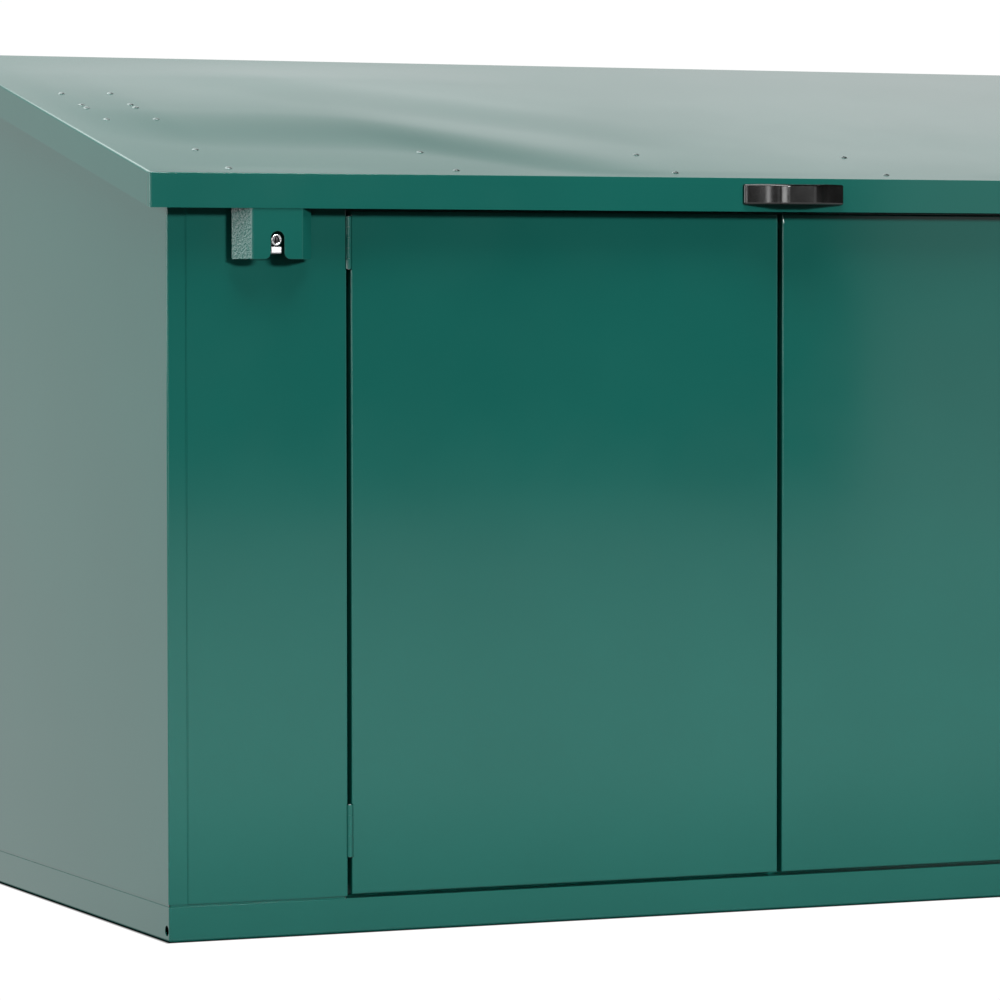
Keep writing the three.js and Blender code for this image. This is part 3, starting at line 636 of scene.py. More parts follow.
def lid_relief(x, s):
    """Slight unevenness of the lid's top, in millimetres, at x and s along its slope: a long step
    whose ridge runs from the middle of the front to the left rear, a shorter one above it, and
    ripples. It fades to nothing at the lid's edges."""
    fade = smooth((HALF_LID - abs(x)) / 90) * smooth(s / 50) * smooth((LID_LENGTH - s) / 200)
    ridge = 312 - 0.93 * ramp(x + 540) + 0.8 * ramp(-890 - x)
    strength = 0.55 * smooth((-120 - x) / 420) + 0.3 * bell(x, -520, 260)
    strength *= 1 - 0.5 * smooth((-820 - x) / 120)
    main = strength * (smooth((s - ridge + 125) / 300) - smooth((s - ridge - 200) / 560))
    upper = 530 - 0.75 * (x + 347)
    second = bell(x, -400, 260) * smooth((s - upper + 150) / 300)
    wave = math.sin(x / 83 - s / 210 + 2.1) + 0.8 * math.sin(s / 71 + x / 390)
    return fade * (5.6 * main + 2.8 * second + 0.12 * wave)


def lid_point(x, y, back):
    """A point of the lid: back is measured down from its top."""
    return (x, y, lid_top(y) - back)


def tightened(t):
    """Draws a distance within the fold towards its corner, and leaves it beyond the fold's reach."""
    if t < LID_BEND:
        return t * TIGHT_RATIO
    if t > TIGHT_REACH:
        return t
    drawn = TIGHT_RATIO * LID_BEND
    return drawn + (t - LID_BEND) * (TIGHT_REACH - drawn) / (TIGHT_REACH - LID_BEND)


def tight_front(x, y, z):
    """Sharpens the lid's front fold; the other three stay rounder."""
    across, down = y - LID_FRONT, lid_top(y) - z
    if across > TIGHT_REACH or down > TIGHT_REACH:
        return (x, y, z)
    y = LID_FRONT + tightened(across)
    return (x, y, lid_top(y) - tightened(down))


def at_lid_end(point, near=0.05):
    """Whether a mesh point lies on the lid's front or rear face."""
    return min(abs(point.y - LID_FRONT * MM), abs(point.y - LID_BACK * MM)) < near * MM


def upright_corners_rounded(data, radius):
    """The mesh with its four upright outer corners rounded."""
    weight = data.attributes.new("bevel_weight_edge", "FLOAT", "EDGE")
    for edge in data.edges:
        a, b = (data.vertices[i].co for i in edge.vertices)
        at_side = min(abs(a.x), abs(b.x)) > (HALF_LID - 0.05) * MM
        at_corner = at_side and at_lid_end(a) and at_lid_end(b)
        weight.data[edge.index].value = 1.0 if at_corner else 0.0
    obj = new_object("work", data)
    modifier = obj.modifiers.new("corners", "BEVEL")
    modifier.width = radius * MM
    modifier.segments = 4
    modifier.limit_method = "WEIGHT"
    return applied(obj)


def lid_shape():
    bounds = (-HALF_LID, HALF_LID, LID_FRONT, LID_BACK)
    shape = pan(bounds, LIP, lid_point, 150, 72,
                lambda x, y: lid_relief(x, (y - LID_FRONT) / math.cos(SLOPE)), LID_BEND)
    return upright_corners_rounded(shape.moved(tight_front).mesh("lid_skin"), LID_CORNER)


def on_lid(x, s, up):
    """A point given along the lid's slope and above its top."""
    y = LID_FRONT + s * math.cos(SLOPE) - up * math.sin(SLOPE)
    z = LID_FRONT_HEIGHT + s * math.sin(SLOPE) + up * math.cos(SLOPE)
    return (x, y, z)


def rivet(x, s):
    """A low round rivet head on the lid."""
    profile = [(RIVET_RADIUS, -0.6)]
    for t in (1, 0.85, 0.7, 0.55, 0.4, 0.2, 0.02):
        profile.append((RIVET_RADIUS * t, RIVET_HEIGHT * (1 - t * t)))
    lift = lid_relief(x, s)
    head = lathe(profile, (0, 0), "Z", 20)
    return head.moved(lambda a, b, c: on_lid(x + a, s + b, lift + c))


def rivets():
    """All the lid's rivet heads: its two rows, and those of its strut plates."""
    shape = Shape()
    for x in LID_RIVET_X:
        for s in LID_RIVET_ROWS:
            shape.add(rivet(x, s))
    for x in PLATE_RIVET_X:
        for s in PLATE_RIVET_S:
            shape.add(rivet(-x, s))
            shape.add(rivet(x, s))
    return shape


piece("lid_skin", lid_shape(), "lid", paint, "green_paint", "lid_panel")
piece("lid_rivet_heads", rivets().mesh("lid_rivet_heads"), "lid", rivet_metal, "zinc_steel")

# ------------------------------------------------------------------ casing


def side_panel():
    """Side sheet with its front and rear returns, cut to the lid's slope, and its top flange."""
    width = 50
    y_front, y_back = FRONT + LAP, BACK - LAP
    section = bent([(-HALF_WIDTH + width, y_back), (-HALF_WIDTH, y_back), (-HALF_WIDTH, y_front),
                    (-HALF_WIDTH + width, y_front)])

    def put(u, v, s):
        return (u, v, PANEL_FOOT + s * (lid_underside(v) - PANEL_DROP - PANEL_FOOT))

    shape = swept(section, put, (0, 1))
    drop = SHEET / math.cos(SLOPE)
    flange = [(y_front + 3, -drop), (y_back - 3, -drop), (y_back - 3, 0), (y_front + 3, 0)]
    outline = [(y, lid_underside(y) - PANEL_DROP + dz) for y, dz in flange]
    return shape.add(prism(outline, "X", -HALF_WIDTH + SHEET / 2, -HALF_WIDTH + 25))


def back_panel():
    """Half of the back, with a standing seam inside at the middle."""
    section = bent([(-CLEAR / 2, BACK - 22), (-CLEAR / 2, BACK), (-HALF_WIDTH + CORNER_STRIP, BACK)])

    def put(u, v, s):
        foot = UPSTAND_TOP + 4 if v < BACK - BEND - 0.1 else PANEL_FOOT
        return (u, v, foot + s * (lid_underside(BACK) - PANEL_DROP - foot))

    return swept(section, put, (0, 1))


def hinge_notches(reach=5.0):
    """Cutters for the notches in which the door hinges' knuckles lie."""
    return [Shape().box(-DOOR_HINGE_X - reach, -DOOR_HINGE_X + reach, FRONT - 5, DOOR_HINGE_Y + reach,
                        low - 1, high + 1) for low, high in DOOR_HINGE_SPANS.values()]


def lock_hole():
    """Cutter for the hole round a lock's barrel and foot."""
    half, bottom = FOOT_HALF_WIDTH + 1, 970
    top = arc(-LOCK_X, LOCK_HEIGHT, BARREL_RADIUS + 1, 0, 180, 16)
    outline = [(-LOCK_X - half, bottom), (-LOCK_X + half, bottom), *top]
    return prism(outline, "Y", FRONT - 5, FRONT + 5)


def pilaster():
    """Fixed front panel beside a door, turned in along the doorway."""
    section = bent([(-HALF_WIDTH + CORNER_STRIP, FRONT), (-OPENING_HALF, FRONT),
                    (-OPENING_HALF, DOOR_STOP - 1)])
    shape = swept(section, along_z, (PANEL_FOOT, PILASTER_TOP))
    return cut(shape.mesh("pilaster"), [*hinge_notches(), lock_hole()])


def seam_bead():
    """Paint that fills the seam between a side panel's front return and the pilaster."""
    x = -HALF_WIDTH + CORNER_STRIP
    return Shape().box(x - 1.5, x - 0.1, FRONT + 0.5, FRONT + LAP - 0.02, PANEL_FOOT + 1,
                       PILASTER_TOP - 2)


piece_pair("side_skin", side_panel(), "casing", paint, "green_paint", "side_panel")
piece_pair("back_skin", back_panel(), "casing", paint, "green_paint", "back_panel")
piece_pair("pilaster_skin", pilaster(), "casing", paint, "green_paint", "pilaster")
piece_pair("seam_bead", seam_bead(), "casing", paint, "green_paint")


def base_ring(profile, steps=4):
    """Sweeps (inset, height) points round the base, with rounded corners."""
    rings = []
    for inset, z in profile:
        radius = max(BASE_CORNER - inset, 0.05)
        ring = []
        for quarter, (sx, sy) in enumerate(((1, 1), (-1, 1), (-1, -1), (1, -1))):
            cx = sx * (HALF_WIDTH - inset - radius)
            cy = sy * (BACK - inset - radius)
            ring += [(x, y, z) for x, y in arc(cx, cy, radius, 90 * quarter, 90 * quarter + 90, steps)]
        rings.append(ring)
    shape = Shape()
    shape.rings(rings, looped=True)
    return shape


def base():
    """Outer band of the base tray: a ledge under the panels, and a drain hole in each side."""
    ledge = LAP + 2 * SHEET + PANEL_GAP
    path = [(-30, 0), (0, 0), (0, PLINTH), (-ledge, PLINTH)]
    section = bent(path, bend=BASE_BENDS)
    loop = [a for a, _ in section] + [b for _, b in reversed(section)]
    shape = base_ring([(-p.x, p.y) for p in loop])
    drain = tube((FRONT + DRAIN_INSET, DRAIN_HEIGHT), "X", -HALF_WIDTH - 5, HALF_WIDTH + 5, DRAIN_RADIUS,
                 chamfer=0.01)
    return cut(shape.mesh("base"), [drain])


def base_inner():
    """Upstand of the base tray inside the panels, with the doorway's sill and stop."""
    x1, y1 = HALF_WIDTH - SHEET - PANEL_GAP, BACK - LAP - SHEET - PANEL_GAP
    z0 = PLINTH - SHEET
    side = OPENING_HALF + 3
    shape = Shape()
    shape.box(-x1, x1, y1 - SHEET, y1, z0, UPSTAND_TOP)
    for sign in (-1, 1):
        outer, inner = sign * x1, sign * (x1 - SHEET)
        shape.box(min(outer, inner), max(outer, inner), -y1, y1, z0, UPSTAND_TOP)
        shape.box(min(outer, sign * side), max(outer, sign * side), -y1, -y1 + SHEET, z0, UPSTAND_TOP)
    shape.box(-side, side, FRONT + 3, DOOR_STOP - 0.1, z0, PLINTH - 0.05)
    shape.box(-OPENING_HALF + 8, OPENING_HALF - 8, DOOR_STOP - SHEET, DOOR_STOP, z0, UPSTAND_TOP)
    return shape


piece("base_skin", base(), "casing", paint, "green_paint", "base_frame")
piece("base_upstand", base_inner().mesh("base_upstand"), "casing", paint, "green_paint")


def header():
    """Rail above the doors, which also stops them."""
    half, stop, foot = OPENING_HALF - CLEAR, DOOR_STOP - SHEET, 1012
    face, ledge = FRONT + SHEET, DOOR_TOP + 3
    points = [(face + 24, PILASTER_TOP), (face, PILASTER_TOP), (face, ledge), (stop, ledge), (stop, foot)]
    return swept(bent(points), along_x, (-half, half))


piece("header_skin", header().mesh("header_skin"), "casing", paint, "green_paint", "front_header")

# ------------------------------------------------------------------ doors


def door_relief(x, z):
    """Slight unevenness of a door's face, in millimetres."""
    inset = min(x + DOOR_OUTER, -DOOR_INNER - x, z - DOOR_FOOT, DOOR_TOP - z)
    fade = max(0.0, min(1.0, inset / 120)) ** 2
    return fade * 0.12 * (math.sin(x / 120 + z / 340) + 0.8 * math.sin(z / 150 + 1.3))


def door():
    bounds = (-DOOR_OUTER, -DOOR_INNER, DOOR_FOOT, DOOR_TOP)
    shape = pan(bounds, DOOR_DEPTH, lambda x, z, back: (x, FRONT + back, z), 28, 40, door_relief)
    return cut(shape.mesh("door"), hinge_notches())


DOORS = {"left": "left_door", "right": "right_door"}
piece_pair("door_skin", door(), DOORS, paint, "green_paint", "door")


def door_leaf(low, high, moving):
    """One leaf of a door hinge, with its share of the five knuckles."""
    shape = Shape()
    axis = (-DOOR_HINGE_X, DOOR_HINGE_Y)
    pitch = (high - low) / DOOR_KNUCKLES
    side = 1 if moving else -1
    outer = -DOOR_HINGE_X + side * (HINGE_GAP / 2 - CLEAR)
    inner = outer - side * 0.8
    lo, hi = min(outer, inner), max(outer, inner)
    for i in range(1 if moving else 0, DOOR_KNUCKLES, 2):
        z0, z1 = low + i * pitch + 0.1, low + (i + 1) * pitch - 0.1
        shape.add(tube(axis, "Z", z0, z1, DOOR_HINGE_RADIUS, KNUCKLE_BORE, 40, 0.12))
        shape.box(lo, hi, DOOR_HINGE_Y + KNUCKLE_BORE, DOOR_HINGE_Y + 6, z0, z1)
    shape.box(lo, hi, DOOR_HINGE_Y + 5.2, FRONT + 24, low + 0.25, high - 0.25)
    return shape


for level, (low, high) in DOOR_HINGE_SPANS.items():
    stem = f"door_hinge_{level}"
    piece_pair(f"{stem}_fixed", door_leaf(low, high, False), "casing", paint, "green_paint",
               f"{stem}_fixed_leaf")
    piece_pair(f"{stem}_moving", door_leaf(low, high, True), DOORS, paint, "green_paint",
               f"{stem}_door_leaf")
    pin = tube((-DOOR_HINGE_X, DOOR_HINGE_Y), "Z", low - 0.5, high + 0.5, PIN_RADIUS, sides=24)
    piece_pair(f"{stem}_pin_round", pin, "casing", zinc, "zinc_steel", f"{stem}_pin")

# ------------------------------------------------------------------ locks


def cover_slot():
    """The open-bottomed slot of a lock cover, flared at its mouth."""
    half, below = COVER_SLOT / 2, COVER_FOOT - 5
    left, right = -LOCK_X - half - SLOT_FLARE, -LOCK_X + half + SLOT_FLARE
    outline = [(left, below), (left, COVER_FOOT)]
    outline += arc(left, COVER_FOOT + SLOT_FLARE, SLOT_FLARE, -90, 0, 10)[1:]
    outline += arc(-LOCK_X, LOCK_HEIGHT + 1.6, half, 180, 0, 24)
    outline += arc(right, COVER_FOOT + SLOT_FLARE, SLOT_FLARE, 180, 270, 10)
    outline.append((right, below))
    return prism(outline, "Y", LID_FRONT - 5, LID_FRONT + 12)


def lock_cover():
    """Folded cover hung from the lid, with a wing on each side."""
    face = LID_FRONT + LAP
    wing_end = FRONT - COVER_STANDOFF
    half = COVER_FACE / 2
    section = bent([(-LOCK_X - half - COVER_SPREAD, wing_end), (-LOCK_X - half, face),
                    (-LOCK_X + half, face), (-LOCK_X + half + COVER_SPREAD, wing_end)],
                   COVER_SHEET, 3.0)
    shape = swept(section, along_z, (COVER_FOOT, LID_FRONT_HEIGHT - 8))
    return rounded(cut(shape.mesh("cover"), [cover_slot()]), 0.35, 2, 50)


piece_pair("lock_cover_skin", lock_cover(), "lid", paint, "green_paint", "lock_cover")
for side in ("left", "right"):
    data = bpy.data.objects[f"lock_cover_skin_{side}"].data
    data.materials.append(paint_peel)
    for polygon in data.polygons:
        outward = polygon.normal.x * (-1 if side == "left" else 1)
        if outward > 0.6 and polygon.area > 100 * MM * MM:
            polygon.material_index = 1


def lock_body():
    """Barrel with a domed rim."""
    nose, tail = LOCK_NOSE, FRONT + 26
    bore = PLUG_RADIUS - 0.9
    middle, half, dome = (BARREL_RADIUS + bore) / 2, (BARREL_RADIUS - bore) / 2, 2.4
    rim = []
    for a in range(180, -1, -20):
        angle = math.radians(a)
        rim.append((middle + half * math.cos(angle), nose + dome - dome * math.sin(angle)))
    profile = [(PLUG_RADIUS + 0.2, nose + 4.4), (bore, nose + 3.6), *rim, (BARREL_RADIUS, tail),
               (PLUG_RADIUS + 0.2, tail)]
    return lathe(profile, (-LOCK_X, LOCK_HEIGHT), "Y", 48, closed=True)


def barrel_bore(start, end):
    """Cutter for the hole that the barrel fills."""
    return tube((-LOCK_X, LOCK_HEIGHT), "Y", start, end, BARREL_RADIUS - 0.4, sides=48)


def lock_foot():
    """Rounded block below the barrel."""
    left, right = -LOCK_X - FOOT_HALF_WIDTH, -LOCK_X + FOOT_HALF_WIDTH
    shape = Shape().box(left, right, LOCK_NOSE + 1, FRONT + 18, 971, LOCK_HEIGHT - 9.5)
    return rounded(cut(shape.mesh("foot"), [barrel_bore(LID_FRONT, FRONT + 30)]), 2.2, 4, 60)


def lock_plate():
    """Fixing plate behind the pilaster."""
    shape = Shape().box(-LOCK_X - 17, -LOCK_X + 17, FRONT + LAP, FRONT + LAP + 3, 960, 1012)
    return rounded(cut(shape.mesh("plate"), [barrel_bore(FRONT - 5, FRONT + 10)]), 0.5, 2, 60)


def merged(*meshes):
    """One mesh from several."""
    work = bmesh.new()
    for data in meshes:
        work.from_mesh(data)
    result = bpy.data.meshes.new("merged")
    work.to_mesh(result)
    work.free()
    return result


def lock_plug():
    """Plug with a keyway and a cam on its inner end."""
    nose, cam_front = LOCK_NOSE + 4.5, FRONT + 28
    profile = [(0.4, nose), (PLUG_RADIUS - 1.2, nose + 0.1), (PLUG_RADIUS - 0.4, nose + 0.5),
               (PLUG_RADIUS, nose + 1.2), (PLUG_RADIUS, cam_front + 4.5)]
    plug = lathe(profile, (-LOCK_X, LOCK_HEIGHT), "Y", 40)
    keyway = Shape().box(-LOCK_X - KEYWAY_HALF_WIDTH, -LOCK_X + KEYWAY_HALF_WIDTH, nose - 2, nose + 9,
                         LOCK_HEIGHT - KEYWAY_HALF_HEIGHT, LOCK_HEIGHT + KEYWAY_HALF_HEIGHT)
    tip = LOCK_HEIGHT + CAM_LENGTH
    outline = [(-LOCK_X - CAM_RADIUS, LOCK_HEIGHT), *arc(-LOCK_X, LOCK_HEIGHT, CAM_RADIUS, 180, 360, 12),
               (-LOCK_X + CAM_RADIUS, tip), *arc(-LOCK_X, tip, CAM_RADIUS, 0, 180, 12)[1:]]
    cam = prism(outline, "Y", cam_front, cam_front + 3)
    return merged(cut(plug.mesh("plug"), [keyway]), rounded(cam.mesh("cam"), 0.4, 2))


LOCKS = {"left": "left_lock", "right": "right_lock"}
body_mesh = merged(lock_body().mesh("barrel"), lock_plate())
piece_pair("lock_barrel", body_mesh, "casing", chrome, "lock_chrome", "lock_body")
piece_pair("lock_foot", lock_foot(), "casing", satin, "lock_chrome")
piece_pair("lock_plug_turned", lock_plug(), LOCKS, plug_painted_shade_metal, "lock_chrome", "lock_plug")

# ------------------------------------------------------------------ lid pull


def drawn_in(points, inset):
    """The open outline moved inwards, its two ends kept on their line."""
    moved = []
    for i, (x, y) in enumerate(points):
        before, after = points[max(i - 1, 0)], points[min(i + 1, len(points) - 1)]
        along = Vector((after[0] - before[0], after[1] - before[1])).normalized()
        at_end = i in (0, len(points) - 1)
        moved.append((x - along.y * inset, y if at_end else y + along.x * inset))
    return moved


def bezier(a, b, c, steps):
    """Points on a quadratic curve."""
    a, b, c = Vector(a), Vector(b), Vector(c)
    ts = [i / steps for i in range(steps + 1)]
    return [tuple(a * (1 - t) ** 2 + b * 2 * t * (1 - t) + c * t * t) for t in ts]


def leg_points(start, steps=5):
    """Follows the bow's left leg from its foot, turning evenly along each stretch."""
    x, y = start
    angle = LEG_ANGLE
    points = []
    for length, end_angle in LEG_STRETCHES:
        for i in range(steps):
            heading = math.radians(angle + (end_angle - angle) * (i + 0.5) / steps)
            x += length / steps * math.cos(heading)
            y -= length / steps * math.sin(heading)
            points.append((x, y))
        angle = end_angle
    return points


def pull_outlines(back):
    """The bow's outer and inner outlines from above, both starting from the left at the lid."""
    foot = back - PULL_FOOT_DEPTH
    outer = [(-PULL_HALF, back), (-PULL_HALF, back - 4)]
    outer += bezier((-PULL_HALF, back - 4), (-PULL_HALF + 0.3, foot + 0.8), (-PULL_HALF + 4, foot), 6)[1:]
    outer += leg_points(outer[-1])
    outer += [(-x, y) for x, y in reversed(outer)]
    inside = back - PULL_DEPTH + PULL_WALL
    left = [(-PULL_HALF + 18, back)]
    left += bezier((-PULL_HALF + 22, back - 7), (-34, inside), (-18, inside), 8)
    return outer, [(-x, y) for x, y in left] + left[::-1]


def pull_levels():
    """(inset, height) steps up the bow, with its lower and upper edges rounded."""
    turns = [math.radians(a) for a in range(0, 91, 15)]
    low, high = PULL_ROUND_BOTTOM, PULL_ROUND_TOP
    levels = [(low - low * math.sin(a), PULL_BOTTOM + low - low * math.cos(a)) for a in turns]
    return levels + [(high * (1 - math.cos(a)), PULL_TOP - high * (1 - math.sin(a))) for a in turns]


def lid_pull():
    """A moulded bow: flat front, curved legs and rounded edges."""
    back = LID_FRONT - CLEAR
    outer, inner = pull_outlines(back)

    def lowered(y, z):
        share = (z - PULL_BOTTOM) / (PULL_TOP - PULL_BOTTOM)
        return z - PULL_SAG * smooth((back - y - 17) / 11) * share

    shape = Shape()
    rings = [[(x, y, lowered(y, z)) for x, y in drawn_in(outer, inset) + inner]
             for inset, z in pull_levels()]
    count = len(rings[0])
    first = shape.rings(rings)
    shape.cap(first, count)
    shape.cap(first + count * (len(rings) - 1), count)
    return shape.mesh("pull")


piece("lid_pull", lid_pull(), "lid", black_plastic, "handle_black", "lid_handle", sharp=50)

# ------------------------------------------------------------------ lid hinge


def lid_leaf(moving):
    """One leaf of the lid's hinge, with every second knuckle."""
    shape = Shape()
    pitch = 2 * LID_HINGE_HALF / LID_KNUCKLES
    y, z = LID_AXIS
    y0 = LID_BACK - SHEET - CLEAR - LEAF if moving else BACK + CLEAR
    arm = (2.2, 8) if moving else (-8, -1.5)
    plate = (5, 38) if moving else (-40, -5)
    for i in range(1 if moving else 0, LID_KNUCKLES, 2):
        x0, x1 = -LID_HINGE_HALF + i * pitch + 0.25, -LID_HINGE_HALF + (i + 1) * pitch - 0.25
        shape.add(tube((y, z), "X", x0, x1, LID_HINGE_RADIUS, KNUCKLE_BORE, 28, 0.3))
        shape.box(x0, x1, y0, y0 + LEAF, z + arm[0], z + arm[1])
    return shape.box(-LID_HINGE_HALF, LID_HINGE_HALF, y0, y0 + LEAF, z + plate[0], z + plate[1])


piece("lid_hinge_fixed", lid_leaf(False).mesh("lid_hinge_fixed"), "casing", paint, "green_paint",
      "lid_hinge_fixed_leaf")
piece("lid_hinge_moving", lid_leaf(True).mesh("lid_hinge_moving"), "lid", paint, "green_paint",
      "lid_hinge_lid_leaf")
pin = tube(LID_AXIS, "X", -LID_HINGE_HALF - 1, LID_HINGE_HALF + 1, PIN_RADIUS, sides=20)
piece("lid_hinge_pin_round", pin.mesh("lid_hinge_pin_round"), "casing", zinc, "zinc_steel",
      "lid_hinge_pin")

# ------------------------------------------------------------------ gas struts


def strut_point(x, along, across):
    """A point beside the strut's axis, given along it from its lower eye."""
    y0, z0 = STRUT_FOOT
    dy, dz = (STRUT_HEAD[0] - y0) / STRUT_LENGTH, (STRUT_HEAD[1] - z0) / STRUT_LENGTH
    return (x, y0 + along * dy - across * dz, z0 + along * dz + across * dy)


def lean(shape):
    """Leans a shape drawn up Z from the origin onto the left strut's axis."""
    return shape.moved(lambda x, y, z: strut_point(x - STRUT_X, z, -y))


def strut_eye(z):
    return tube((0, z), "X", -5, 5, EYE_RADIUS, EYE_BORE, 36, 0.6)


def strut_cylinder():
    """Tube open at its top round the rod, with a neck and an eye at its lower end."""
    top = STRUT_LENGTH - 26
    mouth, r, inner = 4.4, STRUT_RADIUS, STRUT_RADIUS - 1.5
    profile = [(mouth, 14), (r - 2.5, 14), (r - 0.7, 14.8), (r, 17), (r, top - 3.5), (r - 0.6, top - 1.2),
               (r - 2.2, top), (mouth, top), (mouth, top - 12), (inner, top - 12), (inner, 22), (mouth, 22)]
    shape = lathe(profile, (0, 0), "Z", 40, closed=True)
    shape.add(tube((0, 0), "Z", 7.5, 15, 5, sides=24))
    return lean(shape.add(strut_eye(0)))


def strut_rod():
    """Rod with a piston inside the cylinder and an eye at its upper end."""
    piston = 8.1
    profile = [(0.3, 50), (piston, 50), (piston, 60), (ROD_RADIUS, 60), (ROD_RADIUS, STRUT_LENGTH - 7)]
    shape = lathe(profile, (0, 0), "Z", 32)
    return lean(shape.add(strut_eye(STRUT_LENGTH)))


CYLINDERS = {"left": "left_strut_cylinder", "right": "right_strut_cylinder"}
RODS = {"left": "left_strut_rod", "right": "right_strut_rod"}
piece_pair("strut_tube", strut_cylinder(), CYLINDERS, black_paint, "strut_black", "strut_cylinder")
piece_pair("strut_plunger", strut_rod(), RODS, chrome_rod, "strut_chrome", "strut_rod")

# ------------------------------------------------------------------ carried-over nodes

FINISHES = (
    (zinc, ("floor_joist_left", "floor_joist_centre", "floor_joist_right", "floor_tray_left",
            "floor_tray_right", "hinge_rail", "door_strike_left", "door_strike_right",
            "lid_strut_plate_left", "lid_strut_plate_right", "lid_catch_left", "lid_catch_right",
            "strut_bracket_left", "strut_bracket_right")),
    (paint, ("door_stiffener_left", "door_stiffener_right", "lid_front_stiffener")),
    (rubber, ("lid_buffer_front_left", "lid_buffer_front_right", "lid_buffer_rear_left",
              "lid_buffer_rear_right")),
    (grey_plastic, ("door_catch_left", "door_catch_right")),
)
for material, names in FINISHES:
    for name in names:
        node = frame["nodes"][name]
        node.data.materials.clear()
        node.data.materials.append(material)

# ------------------------------------------------------------------ stage and light


def emission_material(name, seen, reflected, lighting):
    """An emitter with its own strength for camera, glossy and diffuse rays."""
    n = Nodes(name)
    path = n.add("LightPath")
    by_diffuse = n.add("Mix", {0: path.outputs["Is Diffuse Ray"], 2: reflected, 3: lighting})
    strength = n.add("Mix", {0: path.outputs["Is Camera Ray"], 2: by_diffuse.outputs[0], 3: seen})
    emission = n.add("Emission", {"Strength": strength.outputs[0]})
    n.tree.links.new(emission.outputs[0], n.output.inputs["Surface"])
    n.material.cycles.emission_sampling = "NONE"
    return n, emission, by_diffuse


def stage_plane(name, corners, material, seen=False):
    """A plane of the stage, which the camera sees only when seen is set."""
    data = bpy.data.meshes.new(name)
    data.from_pydata(corners, [], [(0, 1, 2, 3)])
    data.materials.append(material)
    obj = new_object(name, data)
    obj.visible_camera = seen


def upright(x0, x1, y, z0, z1):
    """The corners of an upright plane that faces along Y."""
    return [(x0, y, z0), (x1, y, z0), (x1, y, z1), (x0, y, z1)]


def footprint_distance(n):
    """How far a point of the floor lies outside the base, in metres, and its Y."""
    place = n.add("SeparateXYZ", {0: n.position()})
    across = n.calculate("SUBTRACT", n.calculate("ABSOLUTE", place.outputs["X"]), HALF_WIDTH * MM)
    along = n.calculate("SUBTRACT", n.calculate("ABSOLUTE", place.outputs["Y"]), BACK * MM)
    return n.calculate("MAXIMUM", across, along), place.outputs["Y"]


# The floor is white to the camera, with a thin painted contact shadow round the base. In reflections
# it darkens towards the box's front, as painted shade of the box on the floor.
floor, floor_emission, floor_choice = emission_material("white_floor", 1.02, 0.80, 0.06)
outside, depth = footprint_distance(floor)
brighter = floor.spread(depth, 1.0, 1.15, -1.2, 0.2)
# Painted contact shadow: the floor is black under the base and back to white a few millimetres out.
painted_contact_shadow = floor.spread(outside, 0.0, 1.0, 0.0, PAINTED_SHADOW_WIDTH)
# Painted shade, seen only in reflections: the floor dims towards the box's front.
painted_shade_before_front = floor.spread(depth, 0.80, 0.36, -2.5, -0.5)
beside = floor.spread(depth, 0.0, 0.44, -0.5, -0.4)
reflected = floor.calculate("ADD", painted_shade_before_front, beside)
floor.tree.links.new(reflected, floor_choice.inputs[2])
shaded = floor.calculate("MULTIPLY", brighter, painted_contact_shadow)
floor.tree.links.new(shaded, floor_emission.inputs["Color"])
stage_plane("floor", [(-20, -13.8, 0), (20, -13.8, 0), (20, 25, 0), (-20, 25, 0)], floor.material, True)

# The lid's top mirrors the back wall, which is darker at the left and fades out at its top.
wall, wall_emission, _ = emission_material("back_wall", 1.0, 1.0, 0.2)
place = wall.add("SeparateXYZ", {0: wall.position()})
across = wall.spread(place.outputs["X"], 0.80, 0.97, -1.4, 1.9)
low_glow = wall.spread(place.outputs["Z"], 1.14, 1.0, 0.0, 1.1)
raised = wall.spread(place.outputs["X"], 0.0, FADE_RAISED, 1.4, 2.0)
height = wall.calculate("SUBTRACT", place.outputs["Z"], raised)
falling = wall.spread(height, 1.0, 0.28, WALL_FADE, WALL_DARK)
product = wall.calculate("MULTIPLY", wall.calculate("MULTIPLY", across, low_glow), falling)
wall.tree.links.new(product, wall_emission.inputs["Color"])
stage_plane("back_wall", upright(-9, 9, WALL_Y, 0, 3.4), wall.material)

# The front mirrors this card, which is brighter near the floor.
card, card_emission, _ = emission_material("right_card", 1.0, 1.0, 0.05)
place = card.add("SeparateXYZ", {0: card.position()})
falling = card.spread(place.outputs["Z"], 0.86, 0.56, 0.35, 1.05)
card.tree.links.new(falling, card_emission.inputs["Color"])
stage_plane("right_card", upright(3.35, 9, CARD_Y, 0, 4), card.material)

high_card, _, _ = emission_material("high_card", 1.0, 1.35, 0.0)
stage_plane("high_card", upright(-3.4, 1.8, HIGH_CARD_Y, 3.0, 5.4), high_card.material)

front_card, _, _ = emission_material("front_card", 1.0, 4.8, 0.0)
stage_plane("front_card", upright(-1.9, -0.8, FRONT_CARD_Y, 0.3, 2.3), front_card.material)


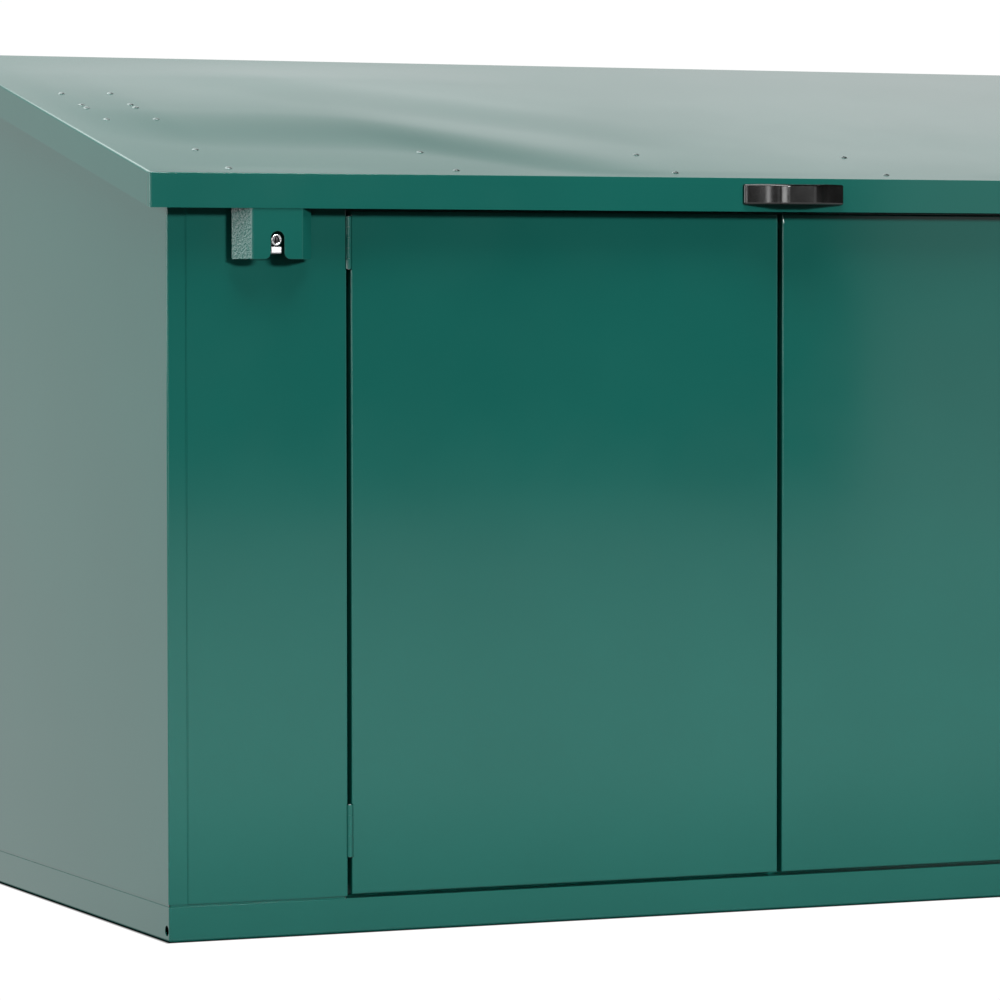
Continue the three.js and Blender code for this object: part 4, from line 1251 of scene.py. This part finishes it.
def area_light(name, place, target, width, height, power, glossy=True, spread=180):
    """A rectangular light that the camera doesn't see, turned towards its target."""
    data = bpy.data.lights.new(name, "AREA")
    data.spread = math.radians(spread)
    data.shape = "RECTANGLE"
    data.size = width
    data.size_y = height
    data.energy = power
    obj = new_object(name, data)
    obj.location = place
    obj.rotation_euler = (Vector(target) - Vector(place)).to_track_quat("-Z", "Y").to_euler()
    obj.visible_camera = False
    obj.visible_glossy = glossy


area_light("key", (0.7, -5.7, 2.35), (0.0, -0.45, 0.5), 1.5, 0.6, 212)
area_light("low_fill", (-0.2, -1.55, 0.24), (-0.2, 0, 0.24), 5.0, 0.15, 3.6, False, 60)
area_light("overhead", (-1.0, -1.6, 4.3), (-0.2, -0.2, 0.6), 3.0, 2.0, 132)
area_light("top_left", (-2.2, 1.0, 3.5), (-0.7, 0, 1.2), 1.6, 1.3, 27)
area_light("left_card", (-4.3, -0.5, 1.75), (-1, -0.5, 1.2), 2.8, 2.05, 105)
area_light("edge_strip", (-1.05, 2.7, 3.0), (-1, 0, 1.2), 2.3, 0.75, 7)
area_light("front_left_strip", (-3.8, -5.2, 1.3), (0, -0.5, 1.05), 0.35, 1.6, 9)
area_light("right_fill", (2.4, -2.6, 1.7), (0.8, -0.45, 0.8), 0.6, 0.6, 5, False)

# The camera sees a white background; everything else sees a nearly black one.
world = bpy.data.worlds.new("studio")
bpy.context.scene.world = world
world.use_nodes = True
tree = world.node_tree
background = tree.nodes["Background"]
path = tree.nodes.new("ShaderNodeLightPath")
choice = tree.nodes.new("ShaderNodeMix")
choice.inputs[2].default_value = 0.015
choice.inputs[3].default_value = 1.02
tree.links.new(path.outputs["Is Camera Ray"], choice.inputs[0])
tree.links.new(choice.outputs[0], background.inputs["Strength"])
background.inputs["Color"].default_value = (1, 1, 1, 1)

camera_data = bpy.data.cameras.new("camera")
camera_data.lens = LENS
camera_data.sensor_width = 36
camera = new_object("camera", camera_data)
camera.location = CAMERA
turn = Matrix.Rotation(-YAW, 4, "Z") @ Matrix.Rotation(math.pi / 2 - PITCH, 4, "X")
camera.rotation_euler = (turn @ Matrix.Rotation(ROLL, 4, "Z")).to_euler()
bpy.context.scene.camera = camera
bpy.context.scene.view_settings.view_transform = "Standard"
